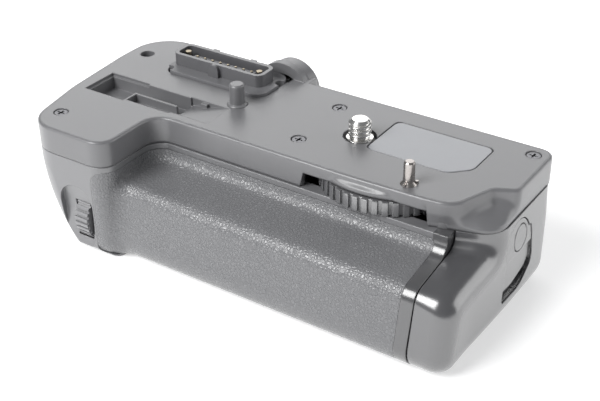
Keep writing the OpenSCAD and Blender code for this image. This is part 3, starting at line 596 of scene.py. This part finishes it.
@dataclass
class GripRubber:
    """Leatherette skin over the front of the handle, swept up into the tall block at its left."""

    left: float = -61.6
    right: float = 34.7
    top: float = -9.8
    block_y: float = -43.0
    lip: Sweep = Sweep(-21.0, -12.9, -55.7, -55.7, (5.5, 6.0), ((-55.7, -37.5), (-55.7, -27.0), (-49.7, -21.0)))
    shoulder: Sweep = Sweep(-37.3, -15.3, -58.1, -54.6, (5.2, 6.5), ((-56.4, -40.2), (-51.0, -37.3), (-44.0, -37.3)))
    base: Sweep = Sweep(-42.4, -38.0, -58.5, -54.0, (8.0, 8.0), ((-56.2, -42.7), (-51.0, -42.4), (-44.0, -42.4)))
    corner: float = 3.0
    under: float = 14.0
    wall: float = 1.15
    rim: float = 0.25

    def columns(self) -> list[Array]:
        """Plan points of the lip, the shoulder and the base for each column, left to right.

        Returns:
            Three arrays of columns by 2.
        """
        at = np.concatenate([np.linspace(0, 1, 16, endpoint=False), np.linspace(1, 3, 34, endpoint=False),
                             np.linspace(3, 4, 52)])
        plans: list[Array] = []
        for line in (self.lip, self.shoulder, self.base):
            rail = Rail([(self.left, self.block_y), (line.leave, self.block_y), (line.meet, line.y),
                         (self.right, line.y)], line.radii)
            lengths = [0.0, *(rail.near(*point) for point in line.points), rail.along[-1]]
            plans.append(rail.at(matched((0.0, 1.0, 2.0, 3.0, 4.0), lengths, at, 0.45)))
        return plans

    def surface(self) -> Array:
        """Section lines from the lip down over the shelf, the shoulder and the front to the base.

        Each column's line has five corners, of which the three inner ones are rounded; at the block the
        lip, the shoulder and the base lie below each other, so the line there is upright.

        Returns:
            Points by columns by 3.
        """
        lip, shoulder, base = self.columns()
        inset = np.clip(lip[:, 0] - self.left, 0.0, self.corner)
        start_z = self.top - (self.corner - np.sqrt(self.corner ** 2 - (self.corner - inset) ** 2))
        stand = np.clip(np.linalg.norm(shoulder - lip, axis=1) / 6.0, 0.0, 1.0)
        inner = base + np.array([0.0, self.under])
        corners = np.stack([lifted(lip, start_z), lifted(lip, self.lip.z), lifted(shoulder, self.shoulder.z),
                            lifted(base, self.base.z), lifted(inner, self.base.z)], axis=1)
        radii = np.stack(np.broadcast_arrays(4.0, 4.5, 4.6 + 1.9 * stand), axis=1)
        lines = round_sections(corners, radii, (9, 10, 14), (3, 7, 14, 2))
        return np.swapaxes(lines[:, :-6], 0, 1)

    def build(self) -> None:
        """Makes the skin, gives it its wall and hides the plain solid."""
        piece = make_piece("grip_skin", Skin.grid(self.surface(), Side.IN), RUBBER, "case", 60.0)
        thicken(piece, self.wall, self.rim)
        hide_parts("grip_rubber")


@dataclass
class EndCap:
    """Shell that closes the tray: the handle's section run into a soft rounded end."""

    start: float = 38.6
    end: float = 49.25
    edge: float = 5.6
    top: float = -8.02
    lip_y: float = -17.2
    lip_run: float = 0.33
    lip_z: float = -12.7
    shoulder_y: float = -37.3
    shoulder_run: float = -0.05
    shoulder_z: float = -15.3
    front_y: float = -42.0
    base_z: float = -38.0
    back_y: float = 20.5
    wall: float = 2.0
    middle: Pair = (-4.0, -22.0)
    swell_out: float = 0.7
    swell_y: float = 3.0
    swell_half: float = 30.0
    swell_fade: float = 9.0
    bulk_at: float = 39.0
    bulk_x: Pair = (38.6, 40.4)
    bulk_in: float = 2.1
    bulk_top: float = -17.7
    guide_x: Pair = (40.4, 43.9)
    guide_y: Pair = (-8.4, 5.0)
    guide_z: Pair = (-31.0, -12.0)
    cup_x: float = 45.4
    cup_sunk: float = 0.5
    cup_wall: float = 0.8
    cup_at: Pair = (-1.5, -20.5)
    plug_x: float = 54.0
    hub_at: Pair = (-2.4, -16.3)
    hub_r: float = 7.2
    cup_p: Corners = ((-9.0, -13.5), (-10.2, -31.4), (1.0, -31.6), (8.0, -26.8), (5.6, -14.0))
    cup_r: Radii = (0.5, 1.2, 9.0, 4.0, 0.5)

    def section(self, x: Array, inset: Array) -> Array:
        """Handle sections at places along x, set in towards the middle.

        Args:
            x: place of each section.
            inset: how far each is set in.

        Returns:
            Sections by points by 3.
        """
        lip = self.lip_y + self.lip_run * (x - self.start)
        shoulder = self.shoulder_y + self.shoulder_run * (x - self.start)

        def at(y: Any, z: Any) -> Array:
            """Corner of every section."""
            return np.stack(np.broadcast_arrays(x, y, z), axis=1)

        corners = np.stack([
            at(lip + inset, self.top), at(lip + inset, self.lip_z - inset),
            at(shoulder + inset * 0.9, self.shoulder_z - inset), at(self.front_y + inset, self.base_z + inset),
            at(self.back_y - inset, self.base_z + inset), at(self.back_y - inset, self.top)], axis=1)
        radii = np.stack([3.6 + inset, np.maximum(4.5 + 1.6 * (x - self.start) / 6.0 - inset, 0.6),
                          6.5 - inset, np.maximum(6.5 - inset, 0.6)], axis=1)
        return round_sections(corners, radii, (10, 12, 12, 10), (6, 10, 14, 30, 12))

    def swell(self, points: Array) -> Array:
        """Pushes the end outwards along x, most in the middle of its width.

        Args:
            points: points of the shell.

        Returns:
            The points, moved.
        """
        push = np.clip((points[..., 0] - self.start) / (self.end - self.start), 0.0, 1.0)
        across = 1.0 - np.clip(np.abs(points[..., 1] - self.swell_y) / self.swell_half, 0.0, 1.0) ** 2
        down = np.clip((self.top - points[..., 2]) / self.swell_fade, 0.0, 1.0)
        moved = points.copy()
        moved[..., 0] += self.swell_out * push * across * down
        return moved

    def surface(self) -> Array:
        """Sections up to the end and round its edge by a quarter circle.

        On the edge an angle a gives x = end - r + r sin a and an inset r (1 - cos a).

        Returns:
            Rows by points by 3.
        """
        flat = np.linspace(self.start, self.end - self.edge, 8)
        turn = np.linspace(0.0, math.pi / 2, 15)[1:]
        x = np.concatenate([flat, self.end - self.edge + self.edge * np.sin(turn)])
        inset = np.concatenate([np.zeros(8), self.edge * (1.0 - np.cos(turn))])
        return self.section(x, inset)

    def face(self, rim: Array) -> Array:
        """End face: the last section, closed along its top, drawn towards one middle point.

        Args:
            rim: points of the last section.

        Returns:
            Rows by points by 3, to be joined into loops.
        """
        top = rim[-1] + (rim[0] - rim[-1]) * np.linspace(0.0, 1.0, 26)[1:-1, None]
        ring = np.concatenate([rim, top])
        shrink = np.linspace(0.0, 1.0, 13)[:, None, None]
        return ring + (np.array([self.end, *self.middle]) - ring) * shrink

    def cup_outline(self, grow: float = 0.0, count: int = 96) -> Array:
        """Outline of the latch recess as (y, z): the outer of a rounded D and the hub's circle.

        Both are star shaped about one middle point, so for each direction the longer ray counts.

        Args:
            grow: how far to set the outline out.
            count: points round it.

        Returns:
            Points by 2.
        """
        middle = np.array(self.cup_at)
        edge = closed_outline(self.cup_p, self.cup_r)
        way = np.linspace(-math.pi, math.pi, count, endpoint=False)
        d_reach = reach_of(edge, middle, way)
        off = np.array(self.hub_at) - middle
        along = np.cos(way) * off[0] + np.sin(way) * off[1]
        hub_reach = along + np.sqrt(np.maximum(self.hub_r ** 2 - (off @ off - along ** 2), 0.0))
        reach = np.maximum(d_reach, hub_reach) + grow
        return middle + reach[:, None] * np.stack([np.cos(way), np.sin(way)], axis=1)

    def upright(self, outline: Array, x: Any) -> Array:
        """A (y, z) outline carried to one place along x, or each point to its own."""
        return np.roll(lifted(outline, x), 1, axis=1)

    def shell(self) -> Object:
        """Outer shell with its wall and the hole over the latch."""
        rows = self.surface()
        skin = Skin.grid(self.swell(rows)) + Skin.grid(self.swell(self.face(rows[-1])), loop=True)
        piece = make_piece("cap_shell", skin, CAP, "tray", 50.0)
        thicken(piece, self.wall)
        outline = self.cup_outline()
        cut_away(piece, capped(self.upright(outline, self.cup_x), self.upright(outline, self.plug_x)))
        return piece

    def cup(self) -> None:
        """Walls and floor of the latch recess."""
        outline = self.cup_outline()
        out_x = self.swell(self.upright(outline, self.end))[:, 0]
        rows = np.stack([self.upright(outline, self.cup_x), self.upright(outline, out_x - self.cup_sunk)])
        inner = Skin.grid(rows, Side.IN, loop=True)
        inner.faces.append(list(range(len(outline))))
        piece = make_piece("latch_cup", inner, CAP, "tray")
        thicken(piece, self.cup_wall)

    def bulkhead(self) -> None:
        """Plate that closes the battery bay and carries the tray, with the latch bolt's guide."""
        line = self.section(np.array([self.bulk_at]), np.array([self.bulk_in]))[0, :, 1:]
        line = line[line[:, 1] < self.bulk_top]
        ring = np.concatenate([[(line[0, 0], self.bulk_top)], line, [(line[-1, 0], self.bulk_top)]])
        plate = capped(*(self.upright(ring, x) for x in self.bulk_x))
        (near, far), (front, back) = self.guide_x, self.guide_y
        guide = prism(np.array([(near, front), (far, front), (far, back), (near, back)]), *self.guide_z)
        make_piece("cap_bulkhead", plate + guide, TRAY, "tray", 30.0)

    def build(self) -> None:
        """Makes the shell, its latch recess and the bulkhead, and hides the plain solid."""
        shell = self.shell()
        self.cup()
        self.bulkhead()
        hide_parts("end_cap")


@dataclass
class Latch:
    """Round boss and lift-out key of the tray's latch, nearly flush with the cap's end."""

    cap: EndCap = field(default_factory=EndCap)
    front: float = 49.1
    back: float = 48.5
    key_front: float = 48.6
    key_back: float = 47.9
    split: float = -19.5
    joint: float = 0.2
    bevel: float = 0.18
    land: float = 0.05
    disc_at: Pair = (-0.85, -15.2)
    disc_r: float = 3.7
    hinge: Pair = (47.3, -21.6)
    barrel: tuple[float, float, float] = (1.2, -8.2, 5.6)
    key_p: Corners = (
        (-8.75, -19.85), (-9.55, -28.4), (-3.5, -28.8), (4.3, -27.2), (6.75, -24.8), (6.3, -19.85))
    key_r: Radii = (0.6, 0.9, 5.0, 2.0, 2.5, 0.6)

    def ring(self, flat: Array, x: float) -> Array:
        """A (y, z) outline carried to a place along x and swollen with the cap's end."""
        return self.cap.swell(self.cap.upright(flat, x))

    def boss(self) -> Skin:
        """Plate above the key with a round hole, and the disc that fills the hole.

        Each is rings of points in equal directions about the disc's middle: the plate's outer ring is
        the recess outline, cut level above the key.

        Returns:
            The surface.
        """
        middle = np.array(self.disc_at)
        line = self.cap.cup_outline(-self.joint, 360)
        line[:, 1] = np.maximum(line[:, 1], self.split)
        way = np.linspace(-math.pi, math.pi, 120, endpoint=False)
        reach = reach_of(line, middle, way)
        spoke = np.stack([np.cos(way), np.sin(way)], axis=1)

        def at(radius: Any, x: float) -> Array:
            """Ring of a radius that may change round it."""
            return self.ring(middle + (spoke.T * radius).T, x)

        hole = np.minimum(self.disc_r + self.joint, reach - self.land)
        disc = np.minimum(self.disc_r, reach - self.land)
        back, front, bevel = self.back, self.front, self.bevel
        plate = [at(reach, back), at(reach, front - bevel), at(reach - bevel, front),
                 at(np.minimum(hole + bevel, reach - bevel), front), at(hole, front - bevel), at(hole, back),
                 at(reach, back)]
        round_disc = [at(0.0, back), at(disc, back), at(disc, front - bevel), at(disc - bevel, front),
                      at(disc * 0.5, front), at(0.0, front)]
        return Skin.grid(np.stack(plate), loop=True) + Skin.grid(np.stack(round_disc), loop=True)

    def key(self) -> Skin:
        """Lift-out key: its outline drawn to the middle on both faces, and the barrel on the latch pin."""
        line = closed_outline(self.key_p, self.key_r)
        middle = line.mean(axis=0)

        def at(scale: float, inset: float, x: float) -> Array:
            """Outline drawn towards its middle."""
            arm = line - middle
            size = np.linalg.norm(arm, axis=1, keepdims=True)
            return self.ring(middle + arm * scale * (1.0 - inset / size), x)

        back, front = self.key_back, self.key_front
        plate = np.stack([at(0.0, 0, back), at(0.5, 0, back), at(1, 0, back), at(1, 0, front - self.bevel),
                          at(1, self.bevel, front), at(0.5, 0, front), at(0.0, 0, front)])
        radius, low, high = self.barrel
        tube = turned(np.array([[0.0, low], [radius, low], [radius, high], [0.0, high]]), 32)[..., [0, 2, 1]]
        tube += [self.hinge[0], 0.0, self.hinge[1]]
        return Skin.grid(plate, loop=True) + Skin.grid(tube, loop=True)

    def build(self) -> None:
        """Makes the boss and the key, and hides the plain solids."""
        boss = make_piece("latch_boss", self.boss(), CAP, "tray", 35.0)
        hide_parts("latch_hub")
        key = make_piece("latch_key", self.key(), CAP, "latch_tab", 35.0)
        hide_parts("latch_tab")


@dataclass
class MountingScrew:
    """Threaded screw that stands up through the top plate into the camera."""

    radius: float = 3.175
    root: float = 2.6
    pitch: float = 1.27
    low: float = 0.15
    high: float = 5.3
    lead_in: float = 0.5
    tip: float = 0.9
    tip_slope: float = 1.1
    journal: float = 3.85
    collar: float = 5.2
    shaft: float = 2.2
    end: float = -10.4

    def surface(self) -> Array:
        """Thread as a function of angle and height.

        The radius rises and falls with the fraction of (height / pitch - turns) as a flat-topped
        wave, fades at the foot and is held under a cone at the tip.

        Returns:
            Rows by columns by 3.
        """
        angle = round_about(64)[None, :]
        height = np.linspace(self.low, self.high, 90)[:, None]
        wave = np.abs(((height / self.pitch - angle / (2 * math.pi)) % 1.0) - 0.5) * 2.0
        crest = np.clip((wave - 0.06) / 0.6, 0.0, 1.0)
        fade = np.clip((height - self.low) / self.lead_in, 0.0, 1.0)
        radius = self.root + (self.radius - self.root) * crest * fade
        cone = self.radius - np.clip(height - (self.high - self.tip), 0.0, 1.0) * self.tip_slope
        radius = np.minimum(radius, cone)
        return np.stack(np.broadcast_arrays(radius * np.cos(angle), radius * np.sin(angle), height), axis=-1)

    def foot(self) -> Array:
        """Journal, collar and shaft below the thread, closed at the shaft's end."""
        return turned(np.array([
            [self.root, self.low], [self.root, 0.0], [3.6, -0.1], [self.journal, -0.3], [self.journal, -1.6],
            [self.collar, -1.61], [self.collar, -3.5], [self.shaft, -3.51], [self.shaft, self.end],
            [0.0, self.end]]), 64)

    def build(self) -> None:
        """Makes the screw and hides the plain solid."""
        thread = self.surface()
        tip = np.concatenate([thread, thread[-1:] * [0.0, 0.0, 1.0]])
        skin = Skin.grid(tip, loop=True) + Skin.grid(self.foot(), Side.IN, loop=True)
        piece = make_piece("camera_screw", skin, NICKEL, "screw", 38.0)
        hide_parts("mounting_screw")


@dataclass
class LabelPlate:
    """Bare satin plate let into the top, with a dark joint round it."""

    centre: Pair = (19.55, 4.05)
    half: Pair = (15.0, 9.1)
    clip: float = 5.0
    rounds: Radii = (2.0, 4.0, 4.0, 2.0, 2.0)
    joint: float = 0.22
    thick: float = 0.6
    bevel: float = 0.12
    sunk: float = 0.03

    def ring(self, inset: float, z: float) -> Array:
        """Outline with one clipped corner, set in and at a height.

        Args:
            inset: how far it is set in.
            z: its height.

        Returns:
            Points by 3.
        """
        w, h = self.half[0] - inset, self.half[1] - inset
        corners = [(-w, -h), (w - self.clip, -h), (w, self.clip - h), (w, h), (-w, h)]
        return lifted(closed_outline(corners, self.rounds) + np.array(self.centre), z)

    def build(self) -> None:
        """Makes the plate from rings drawn to its middle below and above, and hides the plain solid."""
        low, side = self.ring(self.joint, -self.thick), self.ring(self.joint, -self.bevel - self.sunk)
        top = self.ring(self.joint + self.bevel, -self.sunk)
        under, over = (np.array([*self.centre, -depth]) for depth in (self.thick, self.sunk))
        shrink = np.linspace(1.0, 0.0, 7)[1:, None, None]
        rows = np.concatenate([under + (low - under) * shrink[::-1], [low, side, top], over + (top - over) * shrink])
        piece = make_piece("label_face", Skin.grid(rows, loop=True), LABEL, "case", 30.0)
        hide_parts("label_plate")


@dataclass
class UpperShell:
    """Outer wall of the top half: rounded upper edge, brow over the wheel, swept thumb hollow."""

    seam_z: float = -7.85
    slot_z: float = -3.4
    slot_x: Pair = (-6.0, 31.4)
    brow_x: float = 12.6
    brow_out: float = 1.35
    brow_r: float = 33.4
    edge: float = 0.75
    tuck: float = 0.71
    wall: float = 0.7
    screw_rim: float = 4.7
    rim_z: Pair = (-1.5, 2.0)
    core_z: Pair = (-60.0, 30.0)
    core_back: float = 60.0
    under: Pair = (1.4, -0.9)
    front: float = -15.0
    common: Corners = (
        (-50.0, 24.0), (-90.4, 24.0), (-90.4, 5.0), (-88.2, -20.0), (-83.6, -43.0), (-55.7, -43.0), (-55.7, -20.5),
        (8.0, -20.5), (30.0, -19.708))
    common_r: Radii = (12.0, 60.0, 40.0, 10.0, 5.5, 6.0, 3.0)
    seam_end: Corners = ((48.9, -14.2), (49.1, 20.5), (-29.6, 20.5))
    seam_r: Radii = (9.0, 7.2, 4.0)
    top_r: Radii = (9.0, 6.5, 2.6, 2.6, 4.0)
    top_end: Corners = ((38.4, -18.7), (43.2, -6.0), (49.1, -3.2), (49.1, 20.5), (-29.6, 20.5))

    def rails(self) -> tuple[Rail, Rail]:
        """Outline at the seam and outline at the top plane, from the back left round to the back."""
        return (Rail(self.common + self.seam_end, self.common_r + self.seam_r),
                Rail(self.common + self.top_end, self.common_r + self.top_r))

    def columns(self) -> tuple[Array, Array, Array]:
        """Matching points of both outlines and the top outline's inward direction.

        Returns:
            Seam points, top points and directions, each columns by 2.
        """
        seam, top = self.rails()
        fine = (seam.near(24.0, -19.9), seam.near(49.1, 4.0))
        at = np.concatenate([np.arange(0.0, fine[0], 1.0), np.arange(fine[0], fine[1], 0.45),
                             np.arange(fine[1], seam.along[-1], 1.0), [seam.along[-1]]])
        for x in self.slot_x:
            at = np.append(at, seam.near(x, -20.3) + np.array([-0.006, 0.006]))
        at = np.sort(at)
        seam_spots = [(26.0, -19.85), (38.5, -17.73), (45.2, -15.45), (48.2, -13.2), (49.05, -8.5), (49.08, -3.0)]
        top_spots = [(26.0, -19.85), (37.7, -17.6), (41.0, -11.8), (43.4, -6.6), (46.2, -4.5), (49.08, -3.0)]
        knots = [0.0] + [seam.near(*p) for p in seam_spots] + [seam.along[-1]]
        lengths = [0.0] + [top.near(*p) for p in top_spots] + [top.along[-1]]
        along = matched(knots, lengths, at, 1.6)
        ahead = top.at(along + 0.05) - top.at(along - 0.05)
        ahead /= np.linalg.norm(ahead, axis=1)[:, None]
        return seam.at(at), top.at(along), np.stack([-ahead[:, 1], ahead[:, 0]], axis=1)

    def surface(self) -> Array:
        """Wall sections from the top plane over a rounded edge down to the seam or the wheel slot.

        Where the outlines part, the section drops from the top one, bends outwards through a hollow
        and ends upright on the seam's outline; over the wheel it leans out by the brow's lens.

        Returns:
            Columns by points by 3.
        """
        seam, top, inward = self.columns()
        over = (seam[:, 0] > self.slot_x[0]) & (seam[:, 0] < self.slot_x[1]) & (seam[:, 1] < self.front)
        foot = np.where(over, self.slot_z, self.seam_z)
        aside = np.clip(seam[:, 0] - self.brow_x, -20.0, 20.0)
        lens = np.sqrt(self.brow_r ** 2 - aside ** 2) - self.brow_r + self.brow_out
        lean = np.where(over, np.clip(lens, 0.0, None), 0.0)[:, None] * np.array([0.0, -1.0])
        ledge = over & (lens > 0.0)
        bend = lifted(top + 0.1 * (seam - top) + lean * 0.1, np.where(ledge, foot * 0.4, foot * 0.5))
        hip = lifted(seam + lean, np.where(ledge, foot * 0.66, foot * 0.84))
        corners = np.stack([lifted(top + inward * self.edge, 0.0), lifted(top, 0.0), bend, hip,
                            lifted(seam + lean, foot)], axis=1)
        radii = np.stack(np.broadcast_arrays(self.edge, np.where(ledge, 0.9, 4.0), np.where(ledge, 0.4, 1.2)), axis=1)
        lines = round_sections(corners, radii, (7, 9, 6), (1, 3, 4, 3))
        under = lifted(top + inward * self.under[0], self.under[1])[:, None]
        return np.concatenate([under, lines], axis=1)

    def core(self) -> Object:
        """Copy of the top half's solid, cut off all round just behind the new wall.

        What lies inside the drawn-in top outline stays, and so does the back wall round the selector;
        the screw's hole is opened to its rim.

        Returns:
            The object.
        """
        _, top, inward = self.columns()
        behind = [(self.top_end[-1][0], self.core_back), (self.common[0][0], self.core_back)]
        ring = np.concatenate([top + inward * self.tuck, behind])
        turn = round_about(72)
        rim = self.screw_rim * np.stack([np.cos(turn), np.sin(turn)], axis=1)
        mesh = frame["nodes"]["upper_case"].data.copy()
        mesh.name = "upper_core"
        if "custom_normal" in mesh.attributes:
            mesh.attributes.remove(mesh.attributes["custom_normal"])
        merge_doubles(mesh)
        piece = placed("upper_core", mesh)
        cut_away(piece, prism(ring, *self.core_z), Keep.INSIDE)
        cut_away(piece, prism(rim, *self.rim_z))
        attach(piece, "case")
        return piece

    def build(self) -> None:
        """Makes the wall and the core, and hides the plain solid."""
        core = self.core()
        wall = make_piece("upper_wall", Skin.grid(self.surface()), CASE, "case")
        thicken(wall, self.wall)
        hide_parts("upper_case")


@dataclass
class CadFinishes:
    """Finishes of the solids that are shown as they are."""

    by_slot: dict[str, Finish] = field(default_factory=lambda: {
        "case_black": CASE, "grip_rubber": RUBBER, "label_grey": LABEL, "gasket": GASKET,
        "connector_black": CONNECTOR, "contact_gold": GOLD, "nickel": NICKEL, "black_screw": DARK_STEEL,
        "steel": STEEL, "brass": BRASS, "board": BOARD, "wheel_black": WHEEL, "dial_rubber": DIAL,
        "button_silver": SILVER, "tray_black": TRAY, "cap_black": CAP})
    by_node: dict[str, Finish] = field(default_factory=lambda: {
        "guide_pin_metal": PIN, "lower_case": LOWER, "contact_pins": NICKEL})

    def dress(self) -> None:
        """Gives each solid the finish of its material slot."""
        slots = {part["node"]: part["material_slot"] for part in frame["record"]["subparts"]}
        for name, solid in frame["nodes"].items():
            finish = self.by_node.get(name, self.by_slot[slots[name]])
            solid.data.materials.clear()
            solid.data.materials.append(finish.material())
            LOG.info("%s: %s", name, finish.name)


@dataclass
class Studio:
    """Camera, lamps, world and floor."""

    focal: float = 69.18
    azimuth: float = 33.84
    elevation: float = 31.792
    roll: float = -0.612
    eye: tuple[float, float, float] = (141.1, -240.3, 151.7)
    floor_half: float = 6.0

    @staticmethod
    def stand(data: ID, back: Array, at: Array, roll: float = 0.0) -> Object:
        """Places a camera or lamp under its own name.

        Args:
            data: the camera or lamp.
            back: unit vector against the way it looks.
            at: its place in metres.
            roll: its turn about that way, in radians.

        Returns:
            The object.
        """
        right = np.cross([0.0, 0.0, 1.0], back)
        right /= np.linalg.norm(right)
        up = np.cross(back, right)
        across = math.cos(roll) * right + math.sin(roll) * up
        over = math.cos(roll) * up - math.sin(roll) * right
        turn = np.eye(4)
        turn[:3] = np.stack([across, over, back, at], axis=1)
        stand = placed(data.name, data)
        stand.matrix_world = Matrix(turn.tolist())
        return stand

    def camera(self) -> None:
        """Sets the camera at the photograph's place, looking along the fitted direction."""
        az, el, roll = (math.radians(v) for v in (self.azimuth, self.elevation, self.roll))
        back = np.array([math.sin(az) * math.cos(el), -math.cos(az) * math.cos(el), math.sin(el)])
        lens = bpy.data.cameras.new("camera")
        lens.lens = self.focal
        lens.sensor_width = 36.0
        lens.clip_start = 0.01
        bpy.context.scene.camera = self.stand(lens, back, (np.array(self.eye) + SCREW_AT) * MM, roll)

    def lamp(self, name: str, way: Sequence[float], reach: float, size: Pair, power: float) -> None:
        """Hangs one soft lamp that looks at the object.

        Args:
            name: the lamp's name.
            way: direction from the object.
            reach: distance in metres.
            size: width and height in metres.
            power: watts.
        """
        light = bpy.data.lights.new(name, "AREA")
        light.shape = "RECTANGLE"
        light.size, light.size_y = size
        light.energy = power
        back = np.array(way, float) / np.linalg.norm(way)
        self.stand(light, back, back * reach + np.array([0.0, 0.0, 0.02]))

    def world(self) -> None:
        """Even, dim and slightly cool surroundings."""
        world = bpy.data.worlds.new("studio")
        bpy.context.scene.world = world
        world.use_nodes = True
        inputs = world.node_tree.nodes["Background"].inputs
        inputs["Color"].default_value = (0.96, 0.98, 1.0, 1.0)
        inputs["Strength"].default_value = 0.22

    def floor(self) -> None:
        """Wide pale floor: what the camera and mirrors see of it is lifted to white, its shadow stays."""
        mesh = bpy.data.meshes.new("floor")
        half = self.floor_half
        mesh.from_pydata([(-half, -half, 0), (half, -half, 0), (half, half, 0), (-half, half, 0)], [], [(0, 1, 2, 3)])
        g = Graph("floor_paper")
        seen = g.node("LightPath", out="Is Camera Ray")
        mirrored = g.node("LightPath", out="Is Glossy Ray")
        plain = g.node("BsdfDiffuse", {"Color": (0.86, 0.86, 0.86, 1.0)})
        glow = g.blend(mirrored, (0.45, 0.45, 0.45, 1.0), (1.0, 1.0, 1.0, 1.0))
        bright = g.node("AddShader", {0: plain, 1: g.node("Emission", {"Color": glow, "Strength": 1.0})})
        both = g.node("MixShader", {0: (seen + mirrored).clipped(), 1: plain, 2: bright})
        g.node("OutputMaterial", {"Surface": both})
        mesh.materials.append(g.material)
        floor = placed("floor", mesh)

    def build(self) -> None:
        """Sets up everything that isn't the object."""
        bpy.context.scene.view_settings.view_transform = "Standard"
        self.camera()
        self.world()
        self.floor()
        self.lamp("key", (-0.314, -0.673, 0.669), 0.9, (0.5, 0.55), 8.5)
        self.lamp("back", (-0.44, 0.765, 0.47), 0.95, (1.1, 0.55), 3.7)
        self.lamp("right", (0.79, 0.554, 0.26), 1.0, (0.8, 0.6), 3.6)


def main() -> None:
    """Builds the studio and every piece in order."""
    logging.basicConfig(level=logging.INFO, format="%(message)s")
    Studio().build()
    CadFinishes().dress()
    GripRubber().build()
    UpperShell().build()
    EndCap().build()
    Latch().build()
    MountingScrew().build()
    LabelPlate().build()


if __name__ == "__main__":
    main()
